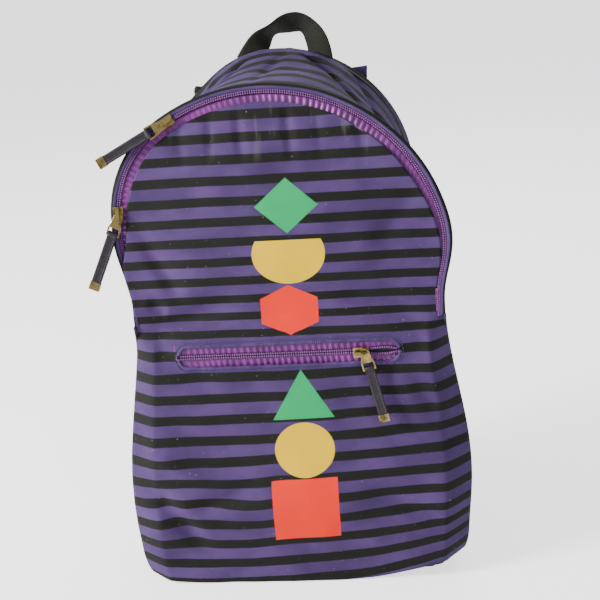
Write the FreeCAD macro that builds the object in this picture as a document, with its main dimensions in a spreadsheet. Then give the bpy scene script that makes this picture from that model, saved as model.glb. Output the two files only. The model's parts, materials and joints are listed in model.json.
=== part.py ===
"""A striped daypack: dome front flap on a two-slider zip, zipped front pocket, padded back and straps.

The bag stands on its base.  Its front faces -Y, its padded back faces +Y and +Z is up.  +X is on the
right as seen from the front, and "left" and "right" are always as seen from the front.  The origin is
on the base, under the middle of the bag.  All lengths are millimetres and all angles are degrees.
"""
import math
import os
from types import SimpleNamespace

import FreeCAD
import Part
import Sketcher

PARTS = "parts"

# name: (value, what it is)
DIMENSIONS = {
    # bag shell
    "front_left": (147.0, "distance of the front's left edge from the middle plane"),
    "dome_x": (19.0, "distance of the dome's centre to the left of the middle plane"),
    "dome_rise": (39.0, "height of the dome's centre above the fold, along the flap"),
    "dome_radius": (157.0, "outer radius of the dome, which also sets the front's right edge"),
    "shoulder": (124.0, "polar angle at which the dome turns into its tighter left shoulder"),
    "back_x": (12.0, "distance of the middle of the back to the left of the middle plane"),
    "half_back": (118.0, "half the width of the back panel, and the radius of its top"),
    "front_y": (74.6, "distance of the inner face of the front panel from the origin"),
    "back_y": (58.0, "distance of the back seam from the origin"),
    "wall": (1.6, "thickness of the gusset, the sides and the base"),
    "cloth": (1.4, "thickness of the front panel"),
    "fold_z": (240.0, "height of the fold that the front flap opens on"),
    "lean": (13.0, "angle that the flap leans back by, degrees"),
    "seam_back_z": (262.0, "height of the gusset's lower seam at the back"),
    "back_arch_z": (330.5, "height of the middle of the back panel's round top"),
    "seam_gap": (0.3, "gap between two shell pieces that are sewn edge to edge"),
    # back padding
    "back_cloth": (1.0, "thickness of each fabric layer of the back panel"),
    "back_foam": (5.0, "thickness of the foam in the back panel"),
    "binding": (2.0, "thickness of the folded binding of the back seam"),
    "binding_width": (8.0, "width of the binding of the back seam"),
    "binding_gap": (2.6, "gap that the binding leaves to the gusset, which falls towards the front"),
    # zips
    "tape": (0.8, "thickness of the zip tape"),
    "chain_inset": (7.0, "distance of the main zip's middle line from the outer edge of the dome"),
    "chain_gap": (0.5, "half the gap between the two coils"),
    "coil_width": (2.4, "width of one coil"),
    "coil_height": (1.8, "height of a coil above its tape"),
    "inner_tape": (15.0, "width of the tape on the flap side"),
    "flap_inset": (16.5, "distance of the edge of the flap's fabric from the outer edge of the dome"),
    # front pocket
    "pocket_left": (101.0, "distance of the pocket slot's left end from the middle plane"),
    "pocket_right": (89.0, "distance of the pocket slot's right end from the middle plane"),
    "pocket_z": (212.0, "height of the pocket zip"),
    "slot_half": (9.0, "half the height of the pocket slot"),
    "pocket_tape": (13.0, "width of one half of the pocket zip's tape"),
    "pouch_depth": (118.0, "depth of the pocket below its zip"),
    # sliders
    "slider_length": (12.5, "length of a slider"),
    "slider_half": (4.2, "half the width of a slider"),
    "slider_plate": (1.1, "thickness of a slider's plates"),
    "throat_low": (1.2, "distance of the slider's lower plate below the tape's face"),
    "throat_high": (2.2, "distance of the slider's upper plate above the tape's face"),
    "post_x": (3.2, "distance of the crown's round post from the slider's middle"),
    "post_radius": (1.1, "radius of the round post"),
    "crown_height": (2.7, "clear height under the crown"),
    "eye_radius": (4.0, "outer radius of the pull link's eye"),
    "eye_bore": (1.6, "radius of the hole in the eye"),
    "link_thick": (1.2, "thickness of the pull link"),
    "link_lift": (0.6, "gap between the slider's upper plate and the link"),
    "bar_reach": (14.2, "distance of the link's cross bar from its eye"),
    "bar_half": (1.15, "half the width of the cross bar"),
    "window_half": (4.3, "half the width of the window in the link"),
    "rail": (1.3, "width of the link's rails"),
    "tab_half": (4.0, "half the width of the leather tab"),
    "tab_loop": (2.6, "outer radius of the leather loop round the cross bar"),
    "tab_bore": (1.5, "inner radius of the leather loop"),
    "tab_thick": (3.0, "thickness of the doubled leather"),
    "tab_length": (48.0, "length of the leather tab from the cross bar"),
    "tip_length": (7.0, "length of the metal tip"),
    "tip_wall": (0.6, "thickness of the metal tip"),
    # grab handle
    "handle_x": (0.0, "distance of the handle's middle from the middle plane"),
    "handle_z": (448.0, "height of the handle's seam"),
    "handle_y": (61.5, "distance of the handle's middle from the origin"),
    "handle_outer": (36.0, "outer radius of the handle"),
    "handle_inner": (15.0, "inner radius of the handle"),
    "handle_thick": (3.0, "thickness of the handle's webbing"),
    # shoulder straps
    "strap_x": (50.0, "distance of a strap's root from the middle of the back"),
    "strap_y": (71.5, "distance of the strap's upper turn from the origin"),
    "strap_z": (410.0, "height of the strap's upper turn"),
    "splay": (8.5, "angle that a strap leaves the middle plane by, degrees"),
    "strap_width": (52.0, "width of the padded strap"),
    "strap_thick": (10.0, "thickness of the padded strap"),
    "strap_skin": (1.2, "thickness of the strap's cover"),
    "turn_radius": (16.0, "radius of the strap's turn over the top of the back"),
    "bow_radius": (560.0, "radius of the strap's bow away from the back"),
    "bow_above": (13.0, "angle of the bow above its widest point, degrees"),
    "bow_below": (8.0, "angle of the bow below its widest point, degrees"),
    "root_height": (16.0, "height of the strap's sewn root"),
    "root_thick": (2.4, "thickness of the strap's sewn root"),
    # webbing and ladder locks
    "web_half": (12.5, "half the width of the webbing"),
    "web": (1.4, "thickness of the webbing"),
    "loop_inner": (2.7, "inner radius of the webbing loop that holds the ladder lock"),
    "lock_drop": (14.0, "distance of the ladder lock's upper bar below the strap's end"),
    "lock_bar": (3.4, "thickness of the ladder lock and of its upper bar"),
    "lock_half": (17.0, "half the width of the ladder lock"),
    "lock_slot_half": (13.4, "half the width of the ladder lock's slots"),
    "mid_bar_drop": (25.75, "distance of the middle bar below the strap's end"),
    "mid_bar": (3.5, "height of the middle bar"),
    "low_bar_drop": (38.25, "distance of the lower bar below the strap's end"),
    "wrap_radius": (4.6, "radius that the webbing wraps the middle bar at"),
    "return_radius": (2.9, "radius that the webbing's tail turns down at"),
    "web_length": (146.0, "distance of the webbing's lower end below the strap's end"),
    "tail_length": (128.0, "distance of the tail's end below the strap's end"),
    "tab_foot_z": (18.0, "height of the lower edge of the corner tab"),
    "tab_head_z": (74.0, "height of the upper edge of the corner tab"),
    "tab_reach": (30.0, "reach of the corner tab from the side seam"),
    "tab_blunt": (20.0, "height of the corner tab's blunt point"),
    "tab_cloth": (2.2, "thickness of the corner tab"),
}

# Where the sliders and pulls rest.  Polar angles run from the right end of the dome.
UPPER_SLIDER_POLAR = 120.8
LOWER_SLIDER_UP = 95.0
POCKET_SLIDER_X = 54.0
UPPER_PULL_SWING = -2.5
LOWER_PULL_SWING = -22.5
POCKET_PULL_SWING = -77.0


class Dim:
    """A size with its number and the formula that the document keeps for it."""

    def __init__(self, value, formula):
        self.value = float(value)
        self.formula = formula

    @staticmethod
    def of(other):
        return other if isinstance(other, Dim) else Dim(other, repr(float(other)))

    def joined(self, other, sign, value):
        return Dim(value, f"({self.formula} {sign} {other.formula})")

    def __add__(self, other):
        other = Dim.of(other)
        return self.joined(other, "+", self.value + other.value)

    def __sub__(self, other):
        other = Dim.of(other)
        return self.joined(other, "-", self.value - other.value)

    def __mul__(self, other):
        other = Dim.of(other)
        return self.joined(other, "*", self.value * other.value)

    def __truediv__(self, other):
        other = Dim.of(other)
        return self.joined(other, "/", self.value / other.value)

    def __radd__(self, other):
        return Dim.of(other) + self

    def __rsub__(self, other):
        return Dim.of(other) - self

    def __rmul__(self, other):
        return Dim.of(other) * self

    def __neg__(self):
        return Dim(-self.value, f"(-1 * {self.formula})")


def sine(angle):
    return Dim(math.sin(math.radians(angle.value)), f"sin({angle.formula} * 1 deg)")


def cosine(angle):
    return Dim(math.cos(math.radians(angle.value)), f"cos({angle.formula} * 1 deg)")


def make_sheet(doc):
    """Writes the driving dimensions to a spreadsheet and returns them as Dims."""
    sheet = doc.addObject("Spreadsheet::Sheet", "dims")
    for row, (name, (value, note)) in enumerate(DIMENSIONS.items(), start=1):
        sheet.set(f"A{row}", name)
        sheet.set(f"B{row}", str(value))
        sheet.set(f"C{row}", note)
        sheet.setAlias(f"B{row}", name)
    doc.recompute()
    return SimpleNamespace(**{n: Dim(v, f"dims.{n}") for n, (v, _) in DIMENSIONS.items()})


doc = FreeCAD.newDocument("daypack")
D = make_sheet(doc)
ZERO = Dim(0, "0")
nodes = []


# ---------------------------------------------------------------- sketch and feature helpers


def new_body(name):
    """A body whose label names its STEP file."""
    body = doc.addObject("PartDesign::Body", name)
    body.Label = name
    nodes.append(body)
    return body


def new_sketch(body, plane, lift=ZERO):
    """A sketch on one of the body's own origin planes, moved along the plane's normal by lift."""
    sketch = body.newObject("Sketcher::SketchObject", body.Name + "_sketch")
    role = [f for f in body.Origin.OriginFeatures if f.Role == plane][0]
    sketch.AttachmentSupport = [(role, "")]
    sketch.MapMode = "FlatFace"
    if lift.value:
        sketch.setExpression("AttachmentOffset.Base.z", lift.formula)
    return sketch


def pin(sketch, geometry, position, x, y):
    """Fixes a point of a sketch at x, y from the sketch's origin."""
    for kind, axis, size in (("DistanceX", -2, x), ("DistanceY", -1, y)):
        size = Dim.of(size)
        if abs(size.value) < 1e-9:
            sketch.addConstraint(Sketcher.Constraint("PointOnObject", geometry, position, axis))
            continue
        row = sketch.addConstraint(
            Sketcher.Constraint(kind, -1, 1, geometry, position, size.value)
        )
        sketch.setExpression(f"Constraints[{row}]", size.formula)


def pin_centre(sketch, geometry, chord_x, chord_y, centre):
    """Fixes the one freedom that an arc between two fixed points has left."""
    across = abs(chord_x) >= abs(chord_y)
    kind, axis, size = ("DistanceY", -1, centre[1]) if across else ("DistanceX", -2, centre[0])
    size = Dim.of(size)
    if abs(size.value) < 1e-9:
        sketch.addConstraint(Sketcher.Constraint("PointOnObject", geometry, 3, axis))
        return
    row = sketch.addConstraint(Sketcher.Constraint(kind, -1, 1, geometry, 3, size.value))
    sketch.setExpression(f"Constraints[{row}]", size.formula)


def closed_profile(sketch, corners):
    """Draws a closed outline.

    A corner is (x, y) when a line leaves it, and (x, y, centre, turn) when an arc does: turn is 1 for
    an arc that runs anticlockwise about its centre and -1 for one that runs clockwise.
    """
    spots = [(Dim.of(c[0]), Dim.of(c[1])) for c in corners]
    ends = []
    for i, corner in enumerate(corners):
        (x0, y0), (x1, y1) = spots[i], spots[(i + 1) % len(spots)]
        start = FreeCAD.Vector(x0.value, y0.value, 0)
        end = FreeCAD.Vector(x1.value, y1.value, 0)
        if len(corner) == 2:
            edge = sketch.addGeometry(Part.LineSegment(start, end), False)
            ends.append((edge, 1, 2))
            continue
        centre, turn = corner[2], corner[3]
        middle = FreeCAD.Vector(Dim.of(centre[0]).value, Dim.of(centre[1]).value, 0)
        first, last = (start, end) if turn > 0 else (end, start)
        angles = [math.atan2(p.y - middle.y, p.x - middle.x) for p in (first, last)]
        if angles[1] <= angles[0]:
            angles[1] += 2 * math.pi
        circle = Part.Circle(middle, FreeCAD.Vector(0, 0, 1), (start - middle).Length)
        edge = sketch.addGeometry(Part.ArcOfCircle(circle, angles[0], angles[1]), False)
        ends.append((edge, 1, 2) if turn > 0 else (edge, 2, 1))
    for i, (edge, _, last) in enumerate(ends):
        following = ends[(i + 1) % len(ends)]
        sketch.addConstraint(
            Sketcher.Constraint("Coincident", edge, last, following[0], following[1])
        )
    for (edge, first, _), (x, y) in zip(ends, spots):
        pin(sketch, edge, first, x, y)
    for i, corner in enumerate(corners):
        if len(corner) == 4:
            (x0, y0), (x1, y1) = spots[i], spots[(i + 1) % len(spots)]
            pin_centre(sketch, ends[i][0], x1.value - x0.value, y1.value - y0.value, corner[2])


def circle(sketch, x, y, radius):
    """Draws a circle."""
    x, y, radius = Dim.of(x), Dim.of(y), Dim.of(radius)
    middle = FreeCAD.Vector(x.value, y.value, 0)
    edge = sketch.addGeometry(Part.Circle(middle, FreeCAD.Vector(0, 0, 1), radius.value), False)
    pin(sketch, edge, 3, x, y)
    row = sketch.addConstraint(Sketcher.Constraint("Radius", edge, radius.value))
    sketch.setExpression(f"Constraints[{row}]", radius.formula)


def rectangle(x0, x1, y0, y1):
    """The corners of a rectangle, for closed_profile."""
    return [(x0, y0), (x1, y0), (x1, y1), (x0, y1)]


def stadium(x0, x1, y, half):
    """The corners of a slot with round ends between x0 and x1, for closed_profile."""
    return [
        (x0 + half, y - half),
        (x1 - half, y - half, (x1 - half, y), 1),
        (x1 - half, y + half),
        (x0 + half, y + half, (x0 + half, y), 1),
    ]


def pad(body, sketch, length, both_ways=False):
    """Pads a sketch along its normal, or half each way."""
    feature = body.newObject("PartDesign::Pad", body.Name + "_pad")
    feature.Profile = sketch
    feature.setExpression("Length", Dim.of(length).formula)
    if both_ways:
        feature.SideType = "Symmetric"
    body.Tip = feature
    return feature


def pocket(body, sketch, length, both_ways=False):
    """Cuts a sketch out of the body, from the sketch's plane along its normal, or half each way."""
    doc.recompute()
    before = body.Shape.Volume
    feature = body.newObject("PartDesign::Pocket", body.Name + "_pocket")
    feature.Profile = sketch
    feature.setExpression("Length", Dim.of(length).formula)
    if both_ways:
        feature.SideType = "Symmetric"
    else:
        feature.Reversed = True
    body.Tip = feature
    doc.recompute()
    if not body.Shape.Volume < before - 1e-3:
        raise SystemExit(f"the pocket in {body.Label} cut nothing")
    return feature


def slab(body, plane, outlines, low, high, cut=False):
    """Pads or cuts closed outlines between two distances along a plane's normal."""
    sketch = new_sketch(body, plane, Dim.of(low))
    for outline in outlines:
        closed_profile(sketch, outline)
    return (pocket if cut else pad)(body, sketch, Dim.of(high) - Dim.of(low))


def place(body, x=ZERO, y=ZERO, z=ZERO, axis=(1, 0, 0), angle=None):
    """Binds a body's placement to the spreadsheet."""
    for name, size in (("x", x), ("y", y), ("z", z)):
        size = Dim.of(size)
        if size.value:
            body.setExpression(f"Placement.Base.{name}", size.formula)
    if angle is not None:
        body.Placement.Rotation = FreeCAD.Rotation(FreeCAD.Vector(*axis), angle.value)
        body.setExpression("Placement.Rotation.Angle", angle.formula)
    return body


def frame_of(x, y, z, axis=(1, 0, 0), angle=0.0):
    """A placement from numbers."""
    turn = FreeCAD.Rotation(FreeCAD.Vector(*axis), angle)
    return FreeCAD.Placement(FreeCAD.Vector(x, y, z), turn)


# ---------------------------------------------------------------- the dome's outline


def shoulder_radius(inset):
    """The radius of the left shoulder, which joins the dome smoothly to the left edge."""
    bend = cosine(D.shoulder)
    left = D.front_left - inset
    return (left - D.dome_x + (D.dome_radius - inset) * bend) / (bend + 1)


def dome_path(inset, foot):
    """The open outline of the dome, set in from its outer edge, from its right foot to its left."""
    radius, small = D.dome_radius - inset, shoulder_radius(inset)
    middle = (-D.dome_x, D.dome_rise)
    left = -(D.front_left - inset)
    turn = (left + small, D.dome_rise + (radius - small) * sine(D.shoulder))
    meet = (middle[0] + radius * cosine(D.shoulder), middle[1] + radius * sine(D.shoulder))
    return [
        ((radius - D.dome_x, Dim.of(foot)), None),
        ((radius - D.dome_x, D.dome_rise), middle),
        (meet, turn),
        ((left, turn[1]), None),
        ((left, Dim.of(foot)), None),
    ]


def arch_path(radius, foot, middle_x=None, rise=None):
    """The open outline of a round-topped arch, from its right foot to its left.

    The arc is in two pieces that match those of the dome, so a loft can pair them.
    """
    rise = D.back_arch_z if rise is None else Dim.of(rise)
    middle = (-D.back_x if middle_x is None else Dim.of(middle_x), rise)
    meet = (middle[0] + radius * cosine(D.shoulder), middle[1] + radius * sine(D.shoulder))
    return [
        ((middle[0] + radius, Dim.of(foot)), None),
        ((middle[0] + radius, rise), middle),
        (meet, middle),
        ((middle[0] - radius, rise), None),
        ((middle[0] - radius, Dim.of(foot)), None),
    ]


def corners_of(path, turn=1):
    """The corners of a path for closed_profile.  A path lists (point, centre of the arc that leaves)."""
    return [point if centre is None else (*point, centre, turn) for point, centre in path]


def backwards(path):
    """The same path from its other end."""
    points = [point for point, _ in reversed(path)]
    centres = [centre for _, centre in reversed(path)][1:] + [None]
    return list(zip(points, centres))


def band(outer, inner):
    """The closed band between an outer and an inner path."""
    return corners_of(outer) + corners_of(backwards(inner), -1)


FOOT = D.seam_gap + 0.5
CHAIN = D.chain_inset
FRONT_RIGHT = D.dome_radius - D.dome_x


def on_flap(body):
    """Places a body that is drawn in the flap's own plane, whose origin is the middle of the fold."""
    return place(body, ZERO, -D.front_y, D.fold_z, (1, 0, 0), -D.lean)


def on_front(body):
    """Places a body that is drawn in the plane of the front panel."""
    return place(body, ZERO, -D.front_y, ZERO)


# ---------------------------------------------------------------- shell


def front_flap():
    """The fabric of the dome, which folds forward once the zip is open."""
    body = new_body("front_flap")
    slab(body, "XZ_Plane", [corners_of(dome_path(D.flap_inset, FOOT))], ZERO, D.cloth)
    on_flap(body)


def front_lower():
    """The front panel below the fold, with the slot of the pocket zip."""
    body = new_body("front_lower")
    outline = rectangle(-D.front_left, FRONT_RIGHT, D.wall, D.fold_z - D.seam_gap)
    slot = stadium(-D.pocket_left, D.pocket_right, D.pocket_z, D.slot_half)
    slab(body, "XZ_Plane", [outline, slot], ZERO, D.cloth)
    on_front(body)


def loft(name, front, back, lean=False):
    """A ruled loft from an outline at the front panel to one at the back seam."""
    body = new_body(name)
    first = new_sketch(body, "XZ_Plane", D.front_y)
    if lean:
        first.AttachmentOffset = frame_of(0, 0, 0, (1, 0, 0), -D.lean.value)
        first.setExpression("AttachmentOffset.Base.y", D.fold_z.formula)
        first.setExpression("AttachmentOffset.Base.z", D.front_y.formula)
        first.setExpression("AttachmentOffset.Rotation.Angle", (-D.lean).formula)
    closed_profile(first, front)
    last = new_sketch(body, "XZ_Plane", -D.back_y)
    closed_profile(last, back)
    doc.recompute()
    feature = body.newObject("PartDesign::AdditiveLoft", name + "_loft")
    feature.Profile = first
    feature.Sections = [(last, [""])]
    feature.Ruled = True
    body.Tip = feature
    return body


def gusset():
    """The striped band over the top, from the zip to the back seam."""
    front = band(dome_path(ZERO, ZERO), dome_path(D.wall, ZERO))
    foot = D.seam_back_z
    back = band(arch_path(D.half_back, foot), arch_path(D.half_back - D.wall, foot))
    loft("gusset", front, back, lean=True)


def side_panel(name, side):
    """A side of the bag below the gusset."""
    front_edge = FRONT_RIGHT if side > 0 else -D.front_left
    back_edge = D.half_back * side - D.back_x
    thick = D.wall * side
    front = rectangle(front_edge - thick, front_edge, D.wall, D.fold_z - D.seam_gap)
    back = rectangle(back_edge - thick, back_edge, D.wall, D.seam_back_z - D.seam_gap)
    loft(name, front, back)


def base_panel():
    """The base, which narrows towards the back."""
    body = new_body("base_panel")
    front, back = D.front_y + D.cloth, D.back_y
    outline = [
        (-D.front_left, -front),
        (FRONT_RIGHT, -front),
        (D.half_back - D.back_x, back),
        (-D.half_back - D.back_x, back),
    ]
    slab(body, "XY_Plane", [outline], ZERO, D.wall)


def back_outline(inset):
    """The back panel's outline, set in from its edge."""
    return corners_of(arch_path(D.half_back - inset, Dim.of(inset)))


def back_layers():
    """The padded back: inner fabric, foam and outer mesh."""
    near = -D.back_y
    for name, inset, thick in (
        ("back_inner_fabric", 0, D.back_cloth),
        ("back_foam_pad", 3, D.back_foam),
        ("back_outer_mesh", 0, D.back_cloth),
    ):
        body = new_body(name)
        slab(body, "XZ_Plane", [back_outline(inset)], near - thick, near)
        near = near - thick
    return near


def back_binding():
    """The tape that binds the back seam inside the bag."""
    body = new_body("back_seam_binding")
    outer = D.half_back - D.wall - D.binding_gap
    foot = D.wall + D.seam_gap
    strip = band(arch_path(outer, foot), arch_path(outer - D.binding, foot))
    slab(body, "XZ_Plane", [strip], -D.back_y, -D.back_y + D.binding_width)


# ---------------------------------------------------------------- zips


def main_zip():
    """The two tapes and coils of the dome's zip.  The inner half belongs to the flap."""
    outer, inner = CHAIN - D.chain_gap, CHAIN + D.chain_gap
    strips = (
        ("outer_tape", D.wall + D.seam_gap, outer, -D.tape, ZERO),
        ("outer_coil", outer - D.coil_width, outer, ZERO, D.coil_height),
        ("inner_tape", inner, inner + D.inner_tape, -D.tape, ZERO),
        ("inner_coil", inner, inner + D.coil_width, ZERO, D.coil_height),
    )
    for name, far, near, low, high in strips:
        body = new_body("main_zip_" + name)
        strip = band(dome_path(far, FOOT), dome_path(near, FOOT))
        slab(body, "XZ_Plane", [strip], low, high)
        on_flap(body)


def pocket_zip():
    """The two tapes and coils of the pocket zip, one above the other."""
    left, right = -D.pocket_left, D.pocket_right
    for name, side in (("upper", 1), ("lower", -1)):
        near = D.pocket_z + D.chain_gap * side
        tape = new_body(f"pocket_zip_{name}_tape")
        strip = rectangle(left - 4, right + 4, near, near + D.pocket_tape * side)
        slab(tape, "XZ_Plane", [strip], -D.tape, ZERO)
        coil = new_body(f"pocket_zip_{name}_coil")
        strip = rectangle(left + 3, right - 3, near, near + D.coil_width * side)
        slab(coil, "XZ_Plane", [strip], ZERO, D.coil_height)
        on_front(tape)
        on_front(coil)


def pocket_pouch():
    """The flat lining bag that hangs behind the front panel from the pocket zip."""
    body = new_body("pocket_pouch")
    left, right = -D.pocket_left - 3, D.pocket_right + 3
    low, high = D.pocket_z - D.pouch_depth, D.pocket_z + D.slot_half + 2
    mouth_low = D.pocket_z - D.slider_half - 1
    mouth_high = D.pocket_z + D.slider_half + 1
    back, front = -D.tape - 2.8, -D.tape
    slab(body, "XZ_Plane", [rectangle(left, right, low, high)], back, front)
    hollow = rectangle(left + 0.8, right - 0.8, low + 0.8, mouth_high)
    slab(body, "XZ_Plane", [hollow], back + 0.6, front - 0.6, cut=True)
    mouth = rectangle(left + 0.8, right - 0.8, mouth_low, mouth_high)
    slab(body, "XZ_Plane", [mouth], front - 0.7, front, cut=True)
    on_front(body)


# ---------------------------------------------------------------- sliders and pulls


def slider_body(name, frame):
    """A slider: two plates joined by a post between the coils, side lips and a crown."""
    body = new_body(name)
    half_length = D.slider_length / 2
    top = D.throat_high + D.slider_plate
    plate = rectangle(-half_length, half_length, -D.slider_half, D.slider_half)
    slab(body, "XZ_Plane", [plate], -D.throat_low - D.slider_plate, -D.throat_low)
    post = rectangle(half_length - 4, half_length - 1.2, -D.chain_gap + 0.2, D.chain_gap - 0.2)
    slab(body, "XZ_Plane", [post], -D.throat_low - 0.2, D.throat_high + 0.2)
    slab(body, "XZ_Plane", [plate], D.throat_high, top)
    for side in (1, -1):
        lip = rectangle(
            1 - half_length, half_length - 1, (D.slider_half - 0.8) * side, D.slider_half * side
        )
        slab(body, "XZ_Plane", [lip], Dim.of(0.35), D.throat_high + 0.1)
    round_post = new_sketch(body, "XZ_Plane", top - 0.1)
    circle(round_post, D.post_x, ZERO, D.post_radius)
    pad(body, round_post, D.crown_height + 0.2)
    foot = rectangle(1.0 - half_length, 2.4 - half_length, Dim.of(-1.4), Dim.of(1.4))
    slab(body, "XZ_Plane", [foot], top - 0.1, top + D.crown_height + 0.1)
    bridge = stadium(0.6 - half_length, D.post_x + 1.6, ZERO, Dim.of(1.6))
    slab(body, "XZ_Plane", [bridge], top + D.crown_height, top + D.crown_height + 1.1)
    body.Placement = frame


def link_level():
    """The height of the pull link's middle above the tape's face."""
    return D.throat_high + D.slider_plate + D.link_lift + D.link_thick / 2


def pull_link(name, frame):
    """The stamped link: an eye round the crown's post, two rails and a cross bar."""
    body = new_body(name)
    low = link_level() - D.link_thick / 2
    high = link_level() + D.link_thick / 2
    eye = new_sketch(body, "XZ_Plane", low)
    circle(eye, ZERO, ZERO, D.eye_radius)
    pad(body, eye, D.link_thick)
    outer = D.window_half + D.rail
    end = D.bar_reach + D.bar_half
    frame_outline = [
        (Dim.of(1.0), -D.eye_radius + 0.2),
        (D.bar_reach - 5, -outer),
        (end, -outer),
        (end, outer),
        (D.bar_reach - 5, outer),
        (Dim.of(1.0), D.eye_radius - 0.2),
    ]
    slab(body, "XZ_Plane", [frame_outline], low, high)
    window = rectangle(
        D.bar_reach - 5.4, D.bar_reach - D.bar_half, -D.window_half, D.window_half
    )
    slab(body, "XZ_Plane", [window], low, high, cut=True)
    bore = new_sketch(body, "XZ_Plane", low)
    circle(bore, ZERO, ZERO, D.eye_bore)
    pocket(body, bore, D.link_thick)
    body.Placement = frame


def pull_tab(name, frame):
    """The leather tab: a loop round the cross bar and two layers sewn together."""
    body = new_body(name)
    loop = new_sketch(body, "YZ_Plane")
    circle(loop, ZERO, ZERO, D.tab_loop)
    pad(body, loop, D.tab_half * 2, both_ways=True)
    strip = new_sketch(body, "YZ_Plane")
    half = D.tab_thick / 2
    closed_profile(strip, rectangle(-half, half, -D.tab_length, -D.tab_bore - 0.3))
    pad(body, strip, D.tab_half * 2, both_ways=True)
    bore = new_sketch(body, "YZ_Plane")
    circle(bore, ZERO, ZERO, D.tab_bore)
    pocket(body, bore, D.tab_half * 2 + 2, both_ways=True)
    body.Placement = frame


def pull_tip(name, frame):
    """The folded metal tip that clamps the end of the leather."""
    body = new_body(name)
    half = D.tab_thick / 2
    low = -D.tab_length - D.tip_wall
    shell = new_sketch(body, "YZ_Plane")
    closed_profile(
        shell, rectangle(-half - D.tip_wall, half + D.tip_wall, low, low + D.tip_length)
    )
    pad(body, shell, D.tab_half * 2 + 0.8, both_ways=True)
    room = new_sketch(body, "YZ_Plane")
    closed_profile(room, rectangle(-half, half, -D.tab_length, low + D.tip_length + 1))
    pocket(body, room, D.tab_half * 2, both_ways=True)
    body.Placement = frame


def slider_set(prefix, frame, swing):
    """A slider with its link, tab and tip.  The frame's X runs along the zip and -Y points outwards."""
    slider_body(f"{prefix}_slider", frame)
    eye = frame.multiply(frame_of(D.post_x.value, 0, 0, (0, -1, 0), swing))
    pull_link(f"{prefix}_pull_link", eye)
    bar = eye.multiply(frame_of(D.bar_reach.value, -link_level().value, 0, (0, -1, 0), 90))
    pull_tab(f"{prefix}_pull_tab", bar)
    pull_tip(f"{prefix}_pull_tip", bar)


def flap_frame():
    """The placement of the flap's plane."""
    return frame_of(0, -D.front_y.value, D.fold_z.value, (1, 0, 0), -D.lean.value)


def chain_frame(x, up, heading):
    """A frame on the main zip's middle line, with X along the zip towards its left end."""
    return flap_frame().multiply(frame_of(x, 0, up, (0, -1, 0), heading))


def dome_frame(polar):
    """A frame on the round part of the main zip at a polar angle."""
    angle, radius = math.radians(polar), (D.dome_radius - CHAIN).value
    x = radius * math.cos(angle) - D.dome_x.value
    up = radius * math.sin(angle) + D.dome_rise.value
    return chain_frame(x, up, polar + 90)


def sliders():
    """The two sliders of the main zip and the one of the pocket."""
    slider_set("main_upper", dome_frame(UPPER_SLIDER_POLAR), UPPER_PULL_SWING)
    leg = chain_frame((CHAIN - D.front_left).value, LOWER_SLIDER_UP, 270)
    slider_set("main_lower", leg, LOWER_PULL_SWING)
    spot = frame_of(POCKET_SLIDER_X, -D.front_y.value, D.pocket_z.value)
    slider_set("pocket", spot, POCKET_PULL_SWING)


# ---------------------------------------------------------------- handle and straps


def grab_handle():
    """The webbing handle over the back seam."""
    body = new_body("grab_handle")
    outer, inner = (arch_path(r, ZERO, ZERO, 0.6) for r in (D.handle_outer, D.handle_inner))
    sketch = new_sketch(body, "XZ_Plane")
    closed_profile(sketch, band(outer, inner))
    pad(body, sketch, D.handle_thick, both_ways=True)
    place(body, D.handle_x, D.handle_y, D.handle_z)


def strap_band(near, far, start):
    """The side view of the padded strap between two distances from its middle line.

    It turns over the back's top at turn_radius and then bows away from the back at bow_radius.
    start is the angle, from the vertical, at which the band begins.
    """
    turn = (ZERO, -D.turn_radius)
    reach = D.bow_radius - D.turn_radius
    bow = (
        -reach * cosine(D.bow_above),
        -D.turn_radius - reach * sine(D.bow_above),
    )

    def on_turn(offset, angle_cos, angle_sin):
        radius = D.turn_radius + offset
        return turn[0] + radius * angle_cos, turn[1] + radius * angle_sin

    def on_bow(offset):
        radius = D.bow_radius + offset
        return bow[0] + radius * cosine(D.bow_below), bow[1] - radius * sine(D.bow_below)

    head = (sine(start), cosine(start))
    waist = (cosine(D.bow_above), sine(D.bow_above))
    return [
        (*on_turn(far, *head), turn, -1),
        (*on_turn(far, *waist), bow, -1),
        on_bow(far),
        (*on_bow(near), bow, 1),
        (*on_turn(near, *waist), turn, 1),
        on_turn(near, *head),
    ]


def strap_end():
    """The middle of the strap's lower end, in the strap's own frame."""
    above, below = math.radians(D.bow_above.value), math.radians(D.bow_below.value)
    turn, bow = D.turn_radius.value, D.bow_radius.value
    y = -(bow - turn) * math.cos(above) + bow * math.cos(below)
    z = -turn - (bow - turn) * math.sin(above) - bow * math.sin(below)
    return y, z


def strap_cover(name, frame):
    """The sewn cover of a strap, hollow for its foam."""
    body = new_body(name)
    half = D.strap_thick / 2
    start = Dim(2, "2")
    outside = new_sketch(body, "YZ_Plane")
    closed_profile(outside, strap_band(-half, half, start))
    pad(body, outside, D.strap_width, both_ways=True)
    hollow = new_sketch(body, "YZ_Plane")
    skin = D.strap_skin
    closed_profile(hollow, strap_band(-half + skin, half - skin, start))
    pocket(body, hollow, D.strap_width - skin * 2, both_ways=True)
    body.Placement = frame


def strap_foam(name, frame):
    """The foam inside a strap's cover."""
    body = new_body(name)
    half, skin = D.strap_thick / 2, D.strap_skin
    core = new_sketch(body, "YZ_Plane")
    closed_profile(core, strap_band(-half + skin, half - skin, Dim(2, "2")))
    pad(body, core, D.strap_width - skin * 2, both_ways=True)
    body.Placement = frame


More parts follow.
